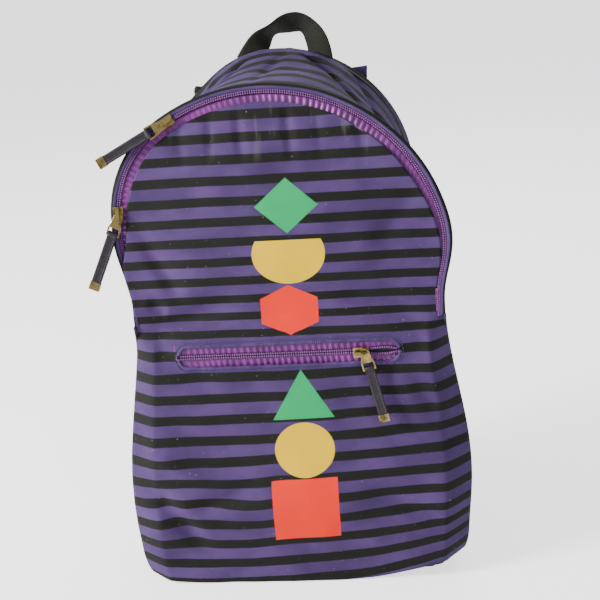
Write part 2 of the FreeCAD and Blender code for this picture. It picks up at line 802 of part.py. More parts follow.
def strap_root(name, frame):
    """The flat root of a strap, sewn into the back's top seam."""
    body = new_body(name)
    half = D.strap_thick / 2
    high = -half - 0.6
    plate = rectangle(-D.root_thick / 2, D.root_thick / 2, high - D.root_height, high)
    sketch = new_sketch(body, "YZ_Plane")
    closed_profile(sketch, plate)
    pad(body, sketch, D.strap_width - 2, both_ways=True)
    back_face = D.back_y + D.back_cloth * 2 + D.back_foam
    shift = (back_face + D.root_thick / 2 + 0.2 - D.strap_y).value
    body.Placement = frame.multiply(frame_of(0, shift, 0))


def lock_loop(name, frame):
    """The short webbing loop, sewn to the strap's end, that holds the ladder lock."""
    body = new_body(name)
    inner, outer, drop = D.loop_inner, D.loop_inner + D.web, -D.lock_drop
    hairpin = [
        (-outer, ZERO),
        (-outer, drop, (ZERO, drop), 1),
        (outer, drop),
        (outer, ZERO),
        (inner, ZERO),
        (inner, drop, (ZERO, drop), -1),
        (-inner, drop),
        (-inner, ZERO),
    ]
    sketch = new_sketch(body, "YZ_Plane")
    closed_profile(sketch, hairpin)
    pad(body, sketch, D.web_half * 2, both_ways=True)
    body.Placement = frame


def ladder_lock(name, frame):
    """The moulded strap adjuster with an upper, a middle and a lower bar."""
    body = new_body(name)
    half_bar = D.lock_bar / 2
    top = -D.lock_drop + half_bar
    mid_top = -D.mid_bar_drop + D.mid_bar / 2
    mid_low = -D.mid_bar_drop - D.mid_bar / 2
    low_top = -D.low_bar_drop + D.mid_bar / 2
    low_end = -D.low_bar_drop - D.mid_bar / 2
    sketch = new_sketch(body, "XZ_Plane")
    closed_profile(sketch, rectangle(-D.lock_half, D.lock_half, low_end, top))
    slot = D.lock_slot_half
    closed_profile(sketch, rectangle(-slot, slot, mid_top, top - D.lock_bar))
    closed_profile(sketch, rectangle(-slot, slot, low_top, mid_low))
    pad(body, sketch, D.lock_bar, both_ways=True)
    body.Placement = frame


def lower_webbing(name, frame):
    """The adjusting webbing: up from the corner tab, round the middle bar and down as a tail."""
    body = new_body(name)
    half = D.web / 2
    wrap, turn = D.wrap_radius, D.return_radius
    mid = -D.mid_bar_drop
    tail = mid - wrap - turn
    outline = [
        (-wrap - half, -D.web_length),
        (-wrap + half, -D.web_length),
        (-wrap + half, mid, (ZERO, mid), -1),
        (ZERO, mid - wrap + half, (ZERO, tail), 1),
        (-turn - half, tail),
        (-turn - half, -D.tail_length),
        (-turn + half, -D.tail_length),
        (-turn + half, tail, (ZERO, tail), -1),
        (ZERO, mid - wrap - half, (ZERO, mid), 1),
        (-wrap - half, mid),
    ]
    sketch = new_sketch(body, "YZ_Plane")
    closed_profile(sketch, outline)
    pad(body, sketch, D.web_half * 2, both_ways=True)
    body.Placement = frame


def corner_tab(name, side):
    """The triangular tab in the side seam that holds the webbing's lower end."""
    body = new_body(name)
    low, high = D.tab_foot_z, D.tab_head_z
    middle = (low + high) / 2
    edge = D.half_back * side - D.back_x
    reach = edge - D.tab_reach * side
    outline = [
        (edge, low),
        (edge, high),
        (reach, middle + D.tab_blunt / 2),
        (reach, middle - D.tab_blunt / 2),
    ]
    face = -D.back_y - D.back_cloth * 2 - D.back_foam - 0.1
    slab(body, "XZ_Plane", [outline], face - D.tab_cloth, face)


def shoulder_strap(prefix, side):
    """One shoulder strap with its ladder lock, webbing and corner tab."""
    root_x = (D.strap_x * side - D.back_x).value
    root = frame_of(root_x, D.strap_y.value, D.strap_z.value, (0, -1, 0), D.splay.value * side)
    strap_root(f"{prefix}_strap_root", root)
    strap_cover(f"{prefix}_strap_cover", root)
    strap_foam(f"{prefix}_strap_foam", root)
    y, z = strap_end()
    end = root.multiply(frame_of(0, y, z, (1, 0, 0), -D.bow_below.value))
    lock_loop(f"{prefix}_lock_loop", end)
    ladder_lock(f"{prefix}_ladder_lock", end)
    lower_webbing(f"{prefix}_lower_webbing", end)
    corner_tab(f"{prefix}_corner_tab", side)


# ---------------------------------------------------------------- build and write


def build():
    front_flap()
    front_lower()
    gusset()
    side_panel("left_side_panel", -1)
    side_panel("right_side_panel", 1)
    base_panel()
    back_layers()
    back_binding()
    main_zip()
    pocket_zip()
    pocket_pouch()
    sliders()
    grab_handle()
    shoulder_strap("left", -1)
    shoulder_strap("right", 1)
    doc.recompute()


def write():
    """Checks every object and writes each body's shape to its own STEP file."""
    broken = [o.Label for o in doc.Objects if {"Invalid", "Error"} & set(o.State)]
    if broken:
        raise SystemExit(f"these objects failed: {broken}")
    for body in nodes:
        if body.Shape.isNull() or not body.Shape.isValid() or not body.Shape.Solids:
            raise SystemExit(f"{body.Label} has no valid solid")
    os.makedirs(PARTS, exist_ok=True)
    for body in nodes:
        body.Shape.exportStep(os.path.join(PARTS, body.Label + ".step"))
        box = body.Shape.BoundBox
        print(f"{body.Label:24s} {box.XLength:7.1f} {box.YLength:7.1f} {box.ZLength:7.1f}"
              f"  {body.Shape.Volume / 1000:8.2f} cm3  {len(body.Shape.Solids)} solid")


build()
write()
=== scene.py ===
# %% [markdown]
# A striped canvas daypack, dressed over its frame.  The frame is the set of solid parts that fixes
# where everything is and how it moves.  Hard parts keep their solids and get a finish.  Cloth parts
# are made again here as sagging, stitched shells, because cloth never looks right as a plain plate.

# %% Load the frame
import json
import math
import bmesh
import bpy
import numpy as np
from mathutils import Matrix, Vector


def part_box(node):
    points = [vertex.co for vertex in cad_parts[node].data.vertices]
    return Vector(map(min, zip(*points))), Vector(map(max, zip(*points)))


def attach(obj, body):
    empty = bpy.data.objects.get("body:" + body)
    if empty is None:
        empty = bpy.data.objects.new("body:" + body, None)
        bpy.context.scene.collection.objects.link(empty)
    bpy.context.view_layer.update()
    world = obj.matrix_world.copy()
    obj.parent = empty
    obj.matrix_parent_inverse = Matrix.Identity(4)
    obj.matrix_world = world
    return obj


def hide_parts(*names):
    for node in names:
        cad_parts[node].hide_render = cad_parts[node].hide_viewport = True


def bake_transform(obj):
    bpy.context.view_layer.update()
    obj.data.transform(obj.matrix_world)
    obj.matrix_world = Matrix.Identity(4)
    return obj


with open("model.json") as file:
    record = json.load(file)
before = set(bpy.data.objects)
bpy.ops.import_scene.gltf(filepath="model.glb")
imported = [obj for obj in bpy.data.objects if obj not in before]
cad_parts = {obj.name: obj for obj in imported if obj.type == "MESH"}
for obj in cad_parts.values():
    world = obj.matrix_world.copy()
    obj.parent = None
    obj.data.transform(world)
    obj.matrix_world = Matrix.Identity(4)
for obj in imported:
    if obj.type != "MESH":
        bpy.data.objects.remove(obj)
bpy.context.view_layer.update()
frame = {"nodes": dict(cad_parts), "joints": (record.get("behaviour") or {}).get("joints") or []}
NODES = frame["nodes"]
JOINTS = {joint["name"]: joint for joint in frame["joints"]}

# %% [markdown]
# The bag's main sizes are read from the frame, so nothing here can drift away from the solids.  The
# front leans back above a fold; the zip runs round the dome in that leaning plane.  A point of the
# leaning plane is given by x, its height up the plane and how far it stands off the plane.

# %% Main sizes, in metres
MM = 0.001


def box(node):
    """The low and high corners of a node's box, as arrays."""
    return (np.array(corner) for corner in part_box(node))


front_low, front_high = box("front_lower")
back_low, back_high = box("back_inner_fabric")
LEFT, RIGHT = front_low[0], front_high[0]
PLANE_Y, BACK_Y = front_high[1], back_low[1]
FOLD_Z = JOINTS["flap_hinge"]["pos_m"][2]
BACK_X = (back_low[0] + back_high[0]) / 2
BACK_HALF = (back_high[0] - back_low[0]) / 2
BACK_TOP = back_high[2]
BACK_RISE = BACK_TOP - BACK_HALF

travel = JOINTS["main_upper_slider_travel"]
DOME_CENTRE = np.array(travel["pos_m"])
OUTWARD = np.array(travel["axis"])
UPHILL = np.array([0.0, OUTWARD[2], -OUTWARD[1]])
ACROSS = np.array([1.0, 0.0, 0.0])
LEAN = math.atan2(UPHILL[1], UPHILL[2])
FOLD = np.array([0.0, PLANE_Y, FOLD_Z])
DOME_X = DOME_CENTRE[0]
DOME_UP = (DOME_CENTRE[2] - FOLD_Z) / UPHILL[2]
DOME_R = RIGHT - DOME_X
SHOULDER = math.radians(124)
SHOULDER_R = (-LEFT + DOME_X + DOME_R * math.cos(SHOULDER)) / (1 + math.cos(SHOULDER))
SHOULDER_X = LEFT + SHOULDER_R
SHOULDER_UP = DOME_UP + (DOME_R - SHOULDER_R) * math.sin(SHOULDER)
EDGE = 15.2 * MM
print(f"front {RIGHT - LEFT:.3f} m wide, fold at {FOLD_Z:.3f}, lean {math.degrees(LEAN):.1f} degrees")
print(f"dome radius {DOME_R:.3f}, shoulder radius {SHOULDER_R:.4f}")


def on_plane(x, up, off):
    """A point of the leaning plane: the fold's middle, plus x across, up the plane and off it."""
    x, up, off = np.broadcast_arrays(x, up, off)
    return FOLD + x[..., None] * ACROSS + up[..., None] * UPHILL + off[..., None] * OUTWARD


def outline(radius, turn_x, turn_up, small, small_x, small_up, counts=(8, 100, 40, 26)):
    """The dome's outline as (x, up) from right foot to left foot: leg, great arc, small arc, leg.

    Every outline has the same number of points in each of its four runs, so two of them pair up."""
    legs, great, tight, left = counts
    a = np.linspace(0, SHOULDER, great, endpoint=False)
    b = np.linspace(SHOULDER, math.pi, tight, endpoint=False)
    right_leg = np.stack([np.full(legs, turn_x + radius), np.linspace(0, turn_up, legs + 1)[:-1]], 1)
    great_arc = np.stack([turn_x + radius * np.cos(a), turn_up + radius * np.sin(a)], 1)
    small_arc = np.stack([small_x + small * np.cos(b), small_up + small * np.sin(b)], 1)
    left_leg = np.stack([np.full(left, small_x - small), np.linspace(small_up, 0, left)], 1)
    return np.concatenate([right_leg, great_arc, small_arc, left_leg])


def dome(inset):
    """The dome's outline, set in by inset from its outer edge."""
    r, s = DOME_R - inset, SHOULDER_R - inset
    return outline(r, DOME_X, DOME_UP, s, SHOULDER_X, SHOULDER_UP)


def run_along(path):
    """The distance run at each point of a path."""
    return np.concatenate([[0.0], np.cumsum(np.linalg.norm(np.diff(path, axis=0), axis=1))])


def carried(path, values, count):
    """Values given at a path's points, carried to count even spots along it."""
    run = run_along(path)
    at = np.linspace(0, run[-1], count)
    return np.stack([np.interp(at, run, values[:, k]) for k in range(values.shape[1])], 1)


def resampled(path, count):
    """The same path in count even steps."""
    return carried(path, path, count)


def even(path, step):
    """The same open path, with its points step apart along it."""
    return resampled(path, max(2, int(round(run_along(path)[-1] / step)) + 1))


def unit(vectors):
    """The same vectors at length 1, along their last axis."""
    return vectors / np.maximum(np.linalg.norm(vectors, axis=-1, keepdims=True), 1e-12)


# %% [markdown]
# The camera stands a little to the right of the bag and looks slightly down on it, with the picture
# turned a few degrees.  It comes first, because every later choice is judged through it.

# %% Camera
CAMERA = {"azimuth": 5.0, "elevation": 17.5, "roll": -4.0, "distance": 1.1, "focal": 75.0}
TARGET = Vector((0.0, 0.0, 0.235))


def make_camera(azimuth, elevation, roll, distance, focal):
    """A camera that looks at TARGET from an azimuth and elevation in degrees, then rolls."""
    a, e = math.radians(azimuth), math.radians(elevation)
    away = Vector((math.sin(a) * math.cos(e), -math.cos(a) * math.cos(e), math.sin(e)))
    data = bpy.data.cameras.new("camera")
    data.lens = focal
    data.sensor_width = 36.0
    camera = bpy.data.objects.new("camera", data)
    bpy.context.scene.collection.objects.link(camera)
    turn = (-away).to_track_quat("-Z", "Y").to_matrix().to_4x4()
    tilt = Matrix.Rotation(math.radians(roll), 4, "Z")
    camera.matrix_world = Matrix.Translation(TARGET + away * distance) @ turn @ tilt
    bpy.context.scene.camera = camera


make_camera(**CAMERA)

# %% [markdown]
# Every cloth piece here is a grid of points worked out with numpy.  These helpers turn a grid, or a
# profile carried along a path, into a mesh with its own flat coordinates, in metres of cloth, so that
# a weave or a stripe is laid on the cloth and not on the room.

# %% Mesh helpers
def grid_faces(rows, columns, wrap=False):
    """Four corners for each cell of a grid; wrap joins the last column to the first."""
    r, c = np.meshgrid(np.arange(rows - 1), np.arange(columns if wrap else columns - 1), indexing="ij")
    c2 = (c + 1) % columns
    here, above = r * columns, (r + 1) * columns
    return np.stack([here + c, here + c2, above + c2, above + c], -1).reshape(-1, 4)


def normals_of(grid):
    """A unit normal at each point of a grid: the cross product of its two directions."""
    return unit(np.cross(np.gradient(grid, axis=1), np.gradient(grid, axis=0)))


def tidy(mesh, closed):
    """Merges doubled points, and on a closed shape turns every face outwards."""
    bm = bmesh.new()
    bm.from_mesh(mesh)
    bmesh.ops.remove_doubles(bm, verts=bm.verts, dist=1e-6)
    bmesh.ops.dissolve_degenerate(bm, edges=bm.edges, dist=1e-7)
    if closed:
        bmesh.ops.recalc_face_normals(bm, faces=bm.faces)
    bm.to_mesh(mesh)
    bm.free()


def piece(name, points, faces, materials, body=None, uv=None, closed=False, merge=True):
    """A mesh object from points and faces, with smooth shading, materials and a body."""
    mesh = bpy.data.meshes.new(name)
    corners = faces if isinstance(faces, list) else faces.tolist()
    mesh.from_pydata(points.reshape(-1, 3).tolist(), [], corners)
    if uv is not None:
        layer = mesh.uv_layers.new(name="cloth")
        index = np.empty(len(mesh.loops), dtype=np.int32)
        mesh.loops.foreach_get("vertex_index", index)
        layer.data.foreach_set("uv", uv.reshape(-1, 2)[index].astype(np.float32).ravel())
    if merge:
        tidy(mesh, closed)
    mesh.shade_smooth()
    for material in materials if isinstance(materials, (list, tuple)) else [materials]:
        mesh.materials.append(material)
    made = bpy.data.objects.new(name, mesh)
    bpy.context.scene.collection.objects.link(made)
    if body:
        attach(made, body)
    return made


def thicken(made, thickness, inside=0):
    """Gives a sheet its thickness inwards; inside is the material step of its inner face."""
    wall = made.modifiers.new("wall", "SOLIDIFY")
    wall.thickness = thickness
    wall.offset = -1.0
    wall.use_even_offset = True
    wall.material_offset = inside
    return made


def frames_along(path, normal):
    """Unit tangents and sideways directions of a path whose surface normal is given."""
    tangent = unit(np.gradient(path, axis=0))
    side = unit(np.cross(np.broadcast_to(normal, path.shape), tangent))
    return tangent, side, np.cross(tangent, side)


def sweep(path, normal, profile):
    """Carries a profile of (across, off) along a path: path + across * side + off * normal."""
    profile = np.asarray(profile, float)
    if profile.ndim == 2:
        profile = np.broadcast_to(profile, (len(path), *profile.shape))
    _, side, lift = frames_along(path, normal)
    return path[:, None] + profile[..., :1] * side[:, None] + profile[..., 1:] * lift[:, None]


def solid_sweep(name, path, normal, profile, materials, body=None):
    """A closed solid: a closed profile carried along an open path, with both ends capped."""
    grid = sweep(path, normal, profile)
    rows, columns = grid.shape[:2]
    run = run_along(path)
    girth = np.linalg.norm(np.roll(grid[0], -1, axis=0) - grid[0], axis=1).cumsum()
    uv = np.stack(np.broadcast_arrays(girth[None, :], run[:, None]), -1)
    points = np.concatenate([grid.reshape(-1, 3), grid[0].mean(0)[None], grid[-1].mean(0)[None]])
    uv = np.concatenate([uv.reshape(-1, 2), [[0, 0]], [[0, run[-1]]]])
    faces = grid_faces(rows, columns, wrap=True).tolist()
    last = (rows - 1) * columns
    for c in range(columns):
        after = (c + 1) % columns
        faces.append([rows * columns, after, c])
        faces.append([rows * columns + 1, last + c, last + after])
    return piece(name, points, faces, materials, body, uv, closed=True)


def rounded(width, height, corner, steps=4):
    """A closed profile of (across, off): a rectangle with round corners, centred."""
    spots = []
    centres = ((1, 1, 0), (-1, 1, 90), (-1, -1, 180), (1, -1, 270))
    for sx, sy, start in centres:
        for angle in np.radians(np.linspace(start, start + 90, steps)):
            x = sx * (width / 2 - corner) + corner * math.cos(angle)
            spots.append((x, sy * (height / 2 - corner) + corner * math.sin(angle)))
    return np.array(spots)


def scatter(path, normal, shape, faces):
    """Copies a small shape of (across, along, off) points to every point of a path, as arrays."""
    tangent, side, lift = frames_along(path, normal)
    shape = np.asarray(shape, float)
    spots = (
        path[:, None]
        + shape[None, :, :1] * side[:, None]
        + shape[None, :, 1:2] * tangent[:, None]
        + shape[None, :, 2:] * lift[:, None]
    )
    shift = np.arange(len(path))[:, None, None] * len(shape)
    return spots.reshape(-1, 3), (np.asarray(faces)[None] + shift).reshape(-1, len(faces[0]))


def bead(across, along, off, low=0.0):
    """A small rounded bar: a closed box of three sections whose ends and edges are drawn in."""
    points, faces = [], []
    for y, shrink in ((-1.0, 0.55), (-0.5, 1.0), (0.5, 1.0), (1.0, 0.55)):
        for x, z in ((-0.5, 0.0), (-0.5, 0.6), (-0.22, 1.0), (0.22, 1.0), (0.5, 0.6), (0.5, 0.0)):
            points.append((x * across * shrink, y * along / 2, low + z * off * shrink))
    sections = len(points) // 6
    for s in range(sections - 1):
        for k in range(6):
            k2 = (k + 1) % 6
            faces.append((s * 6 + k, s * 6 + k2, s * 6 + 6 + k2, s * 6 + 6 + k))
    for s, order in ((0, 1), (sections - 1, -1)):
        ring = [s * 6 + k for k in range(6)][::order]
        faces.append((ring[0], ring[1], ring[2], ring[5]))
        faces.append((ring[2], ring[3], ring[4], ring[5]))
    return np.array(points), np.array(faces)


def stitches(name, path, normal, material, body, length=2.3 * MM, pitch=3.4 * MM, width=0.8 * MM):
    """A row of thread stitches along a path, each a small rounded bar lying on the cloth."""
    spots = even(path, pitch)
    facing = carried(path, np.broadcast_to(normal, path.shape), len(spots))
    points, faces = scatter(spots, facing, *bead(width, length, 0.45 * MM, -0.1 * MM))
    return piece(name, points, faces, material, body, merge=False)


def smooth(value, low, high):
    """0 below low, 1 above high and a soft step between them."""
    t = np.clip((value - low) / (high - low), 0.0, 1.0)
    return t * t * (3 - 2 * t)


def hump(value, middle, width):
    """A bell: 1 at the middle, falling away over width."""
    return np.exp(-(((value - middle) / width) ** 2))


def crease(x, y, start, end, width, depth):
    """A soft valley along a line from start to end: a bell across it, fading at its two ends."""
    start, end = np.array(start), np.array(end)
    length = np.linalg.norm(end - start)
    way = (end - start) / length
    along = (x - start[0]) * way[0] + (y - start[1]) * way[1]
    across = (x - start[0]) * way[1] - (y - start[1]) * way[0]
    fade = smooth(along, -0.15 * length, 0.3 * length) * (1 - smooth(along, 0.6 * length, 1.15 * length))
    return depth * fade * np.exp(-((across / width) ** 2))


def ripple(x, y, size, seed):
    """Slow unevenness between -1 and 1: a sum of three slanted sine waves."""
    total = 0.0
    for k in range(3):
        angle = seed * 1.7 + k * 2.1
        reach = size * (0.7 + 0.35 * k)
        total = total + np.sin((x * math.cos(angle) + y * math.sin(angle)) * 2 * math.pi / reach + seed + k)
    return total / 3


# %% [markdown]
# A finish here is a small network of nodes.  These helpers add nodes to a tree and join them up, so
# that a material reads as a short recipe.  Colours are written as red, green and blue from 0 to 255,
# the way paint charts give them, and turned into the linear light that a shader works in.

# %% Node helpers
def colour(red, green, blue):
    """A chart colour as linear light, with alpha 1."""
    c = np.array([red, green, blue]) / 255.0
    light = np.where(c <= 0.04045, c / 12.92, ((c + 0.055) / 1.055) ** 2.4)
    return (*light.tolist(), 1.0)


def add(tree, kind, inputs=None, **settings):
    """A node of a kind; inputs are sockets to link or values to set, by name or number."""
    made = tree.nodes.new("ShaderNode" + kind)
    for key, value in settings.items():
        setattr(made, key, value)
    fill(tree, made, inputs or {})
    return made


def fill(tree, node, inputs):
    """Links each socket given to a node's input, and sets each value given."""
    for key, value in inputs.items():
        if isinstance(value, bpy.types.NodeSocket):
            tree.links.new(value, node.inputs[key])
        else:
            node.inputs[key].default_value = value


def calc(tree, operation, *values, clamp=False):
    """A Math node's answer."""
    inputs = dict(enumerate(values))
    return add(tree, "Math", inputs, operation=operation, use_clamp=clamp).outputs[0]


def step(tree, value, low, high):
    """A soft step: 0 at low, 1 at high; low may be the larger one."""
    inputs = {"Value": value, "From Min": low, "From Max": high}
    return add(tree, "MapRange", inputs, interpolation_type="SMOOTHSTEP").outputs[0]


def blend_colour(tree, share, first, second):
    """The first colour, giving way to the second as share goes to 1."""
    return add(tree, "Mix", {0: share, 6: first, 7: second}, data_type="RGBA").outputs[2]


def painted_hollow_shade(tree, ground, height, share, rest):
    """A colour times share * height + rest: painted shade that darkens the low places of a weave."""
    shade = calc(tree, "MULTIPLY_ADD", height, share, rest)
    inputs = {0: 1.0, 6: ground, 7: shade}
    return add(tree, "Mix", inputs, data_type="RGBA", blend_type="MULTIPLY").outputs[2]


def noise(tree, place, scale, detail=3.0, rough=0.55):
    """Cloudy noise, about 0.5 on average; scale is clouds per metre."""
    inputs = {"Vector": place, "Scale": scale, "Detail": detail, "Roughness": rough}
    return add(tree, "TexNoise", inputs).outputs["Fac"]


def new_group(name, inputs, outputs):
    """A node group with named sockets, and its two ends: what comes in and what goes out."""
    tree = bpy.data.node_groups.new(name, "ShaderNodeTree")
    kinds = {"V": "NodeSocketVector", "F": "NodeSocketFloat", "C": "NodeSocketColor"}
    for label, kind in inputs.items():
        tree.interface.new_socket(label, in_out="INPUT", socket_type=kinds[kind])
    for label, kind in outputs.items():
        tree.interface.new_socket(label, in_out="OUTPUT", socket_type=kinds[kind])
    return tree, tree.nodes.new("NodeGroupInput").outputs, tree.nodes.new("NodeGroupOutput").inputs


def use(tree, group, inputs):
    """A placed copy of a node group, with its own values."""
    made = tree.nodes.new("ShaderNodeGroup")
    made.node_tree = group
    fill(tree, made, inputs)
    return made.outputs


# %% [markdown]
# Effects that several finishes share are node groups.  A plain weave is two sine waves at right
# angles, one for the warp and one for the weft; slubs are thicker threads that noise picks out.
# Stripes are a repeating ruler with a soft, frayed edge.  Wear is a patchy noise broken up by a
# finer one, so that a rub mark keeps the grain of the cloth under it.

# %% Shared effects
def make_weave():
    """Height = 0.5 + 0.5 sin(pi x / thread) sin(pi y / thread), roughened by long, thin slubs."""
    tree, given, out = new_group("weave", {"Cloth": "V", "Thread": "F"}, {"Height": "F", "Slubs": "F"})
    turns = calc(tree, "DIVIDE", math.pi, given["Thread"])
    scaled = add(tree, "VectorMath", {0: given["Cloth"], "Scale": turns}, operation="SCALE").outputs[0]
    parts = add(tree, "SeparateXYZ", {0: scaled}).outputs
    warp = calc(tree, "SINE", parts[0])
    weft = calc(tree, "SINE", parts[1])
    cross = calc(tree, "MULTIPLY", warp, weft)
    height = calc(tree, "MULTIPLY_ADD", cross, 0.5, 0.5)
    flat = add(tree, "Mapping", {"Vector": given["Cloth"], "Scale": (60.0, 900.0, 60.0)}).outputs[0]
    upright = add(tree, "Mapping", {"Vector": given["Cloth"], "Scale": (900.0, 60.0, 60.0)}).outputs[0]
    slubs = calc(tree, "ADD", noise(tree, flat, 1.0, 2.0), noise(tree, upright, 1.0, 2.0))
    tree.links.new(calc(tree, "MULTIPLY_ADD", slubs, 0.35, height), out["Height"])
    tree.links.new(calc(tree, "MULTIPLY", slubs, 0.5), out["Slubs"])
    return tree


def make_stripes():
    """Mask = 1 inside each dark band of a ruler of the given pitch; noise frays both its edges."""
    sockets = {"Cloth": "V", "Across": "F", "Pitch": "F", "Share": "F", "Fray": "F"}
    tree, given, out = new_group("stripes", sockets, {"Mask": "F"})
    drift = calc(tree, "SUBTRACT", noise(tree, given["Cloth"], 9.0, 2.0), 0.5)
    fray = calc(tree, "SUBTRACT", noise(tree, given["Cloth"], 700.0, 2.0), 0.5)
    moved = calc(tree, "MULTIPLY_ADD", drift, 0.004, given["Across"])
    moved = calc(tree, "MULTIPLY_ADD", fray, given["Fray"], moved)
    turn = calc(tree, "FRACT", calc(tree, "DIVIDE", moved, given["Pitch"]))
    away = calc(tree, "ABSOLUTE", calc(tree, "SUBTRACT", turn, 0.5))
    half = calc(tree, "MULTIPLY", given["Share"], 0.5)
    edge = calc(tree, "SUBTRACT", away, half)
    tree.links.new(step(tree, edge, 0.022, -0.022), out["Mask"])
    return tree


def make_wear():
    """Mask = coarse noise over a threshold set by the amount, times a finer, grainy noise."""
    sockets = {"Cloth": "V", "Amount": "F", "Scale": "F"}
    tree, given, out = new_group("wear", sockets, {"Mask": "F", "Grain": "F"})
    coarse = noise(tree, given["Cloth"], given["Scale"], 5.0, 0.6)
    grain = noise(tree, given["Cloth"], calc(tree, "MULTIPLY", given["Scale"], 28.0), 3.0, 0.7)
    low = calc(tree, "SUBTRACT", 0.78, calc(tree, "MULTIPLY", given["Amount"], 0.4))
    patch = step(tree, coarse, low, calc(tree, "ADD", low, 0.22))
    rubbed = calc(tree, "MULTIPLY", patch, step(tree, grain, 0.35, 0.62), clamp=True)
    tree.links.new(rubbed, out["Mask"])
    tree.links.new(grain, out["Grain"])
    return tree


WEAVE, STRIPES, WEAR = make_weave(), make_stripes(), make_wear()
print("shared effects:", WEAVE.name, STRIPES.name, WEAR.name)

# %% [markdown]
# The bag's cloth is a purple canvas with dark bands dyed across it.  Bands and weave are both laid in
# the cloth's own flat coordinates, so they follow every sag of the shell.  The dark bands go pale in
# patches, partly real wear where they rub and partly a painted sheen highlight, and loose lint sits
# on them.  The low places of the weave get painted shade.  On the front, six plain shapes are printed
# in a column; a print is flat ink, so it hides the bands but not the weave.

# %% Canvas
PURPLE, PURPLE_DEEP = colour(78, 56, 106), colour(58, 40, 84)
# The pale band colour is partly real rub wear and partly a painted sheen highlight.
BAND, BAND_WEAR_AND_SHEEN = colour(9, 10, 6), colour(70, 70, 60)
LINT = colour(190, 186, 190)
PITCH, BAND_SHARE = 19.3 * MM, 0.45
BAND_START = 10.4 * MM
CORAL, YELLOW, GREEN = colour(236, 36, 16), colour(226, 182, 0), colour(0, 160, 92)
# Each print: its shape, its middle and its size on the cloth in mm, and its ink.
PRINTS = (
    ("square", 0.0, 69.0, 58.0, CORAL),
    ("disc", 2.0, 124.0, 51.0, YELLOW),
    ("triangle", 3.0, 168.0, 60.0, GREEN),
    ("hexagon", -3.0, 256.0, 54.0, CORAL),
    ("half disc", -1.0, 315.0, 60.0, YELLOW),
    ("diamond", -1.0, 361.0, 51.0, GREEN),
)

# Each polygon: how many sides, the angle of the first, and how far out they lie for a half size of 1.
POLYGONS = {
    "square": (4, 0, 0.98),
    "triangle": (3, 270, 0.5),
    "hexagon": (6, 0, 0.88),
    "diamond": (4, 45, 0.72),
}


def shape_mask(tree, cloth, kind, x, z, size):
    """1 inside a plain shape: the largest of its sides' distances is under 0, softly."""
    half = size * MM / 2
    centre = (x * MM, z * MM, 0.0)
    away = add(tree, "VectorMath", {0: cloth, 1: centre}, operation="SUBTRACT").outputs[0]
    if kind in POLYGONS:
        count, turn, reach = POLYGONS[kind]
        far = None
        for angle in np.radians(turn + np.arange(count) * 360.0 / count):
            way = (math.cos(angle), math.sin(angle), 0.0)
            side = add(tree, "VectorMath", {0: away, 1: way}, operation="DOT_PRODUCT").outputs["Value"]
            far = side if far is None else calc(tree, "MAXIMUM", far, side)
        edge = calc(tree, "SUBTRACT", far, half * reach)
    else:
        length = add(tree, "VectorMath", {0: away}, operation="LENGTH").outputs["Value"]
        edge = calc(tree, "SUBTRACT", length, half)
        if kind == "half disc":
            below = add(tree, "SeparateXYZ", {0: away}).outputs[1]
            edge = calc(tree, "MAXIMUM", edge, calc(tree, "SUBTRACT", below, half * 0.45))
    return step(tree, edge, 0.3 * MM, -0.3 * MM)


def make_material(name, body=colour(128, 128, 128), rough=0.8):
    """A new material, its tree, and its Principled shader."""
    material = bpy.data.materials.new(name)
    material.use_nodes = True
    tree = material.node_tree
    shader = tree.nodes["Principled BSDF"]
    shader.inputs["Base Color"].default_value = body
    shader.inputs["Roughness"].default_value = rough
    return material, tree, shader


def bump(tree, shader, height, distance, strength=1.0):
    """Sends a height to the shader's normal; distance is how deep it is, in metres."""
    made = add(tree, "Bump", {"Height": height, "Distance": distance, "Strength": strength})
    tree.links.new(made.outputs[0], shader.inputs["Normal"])


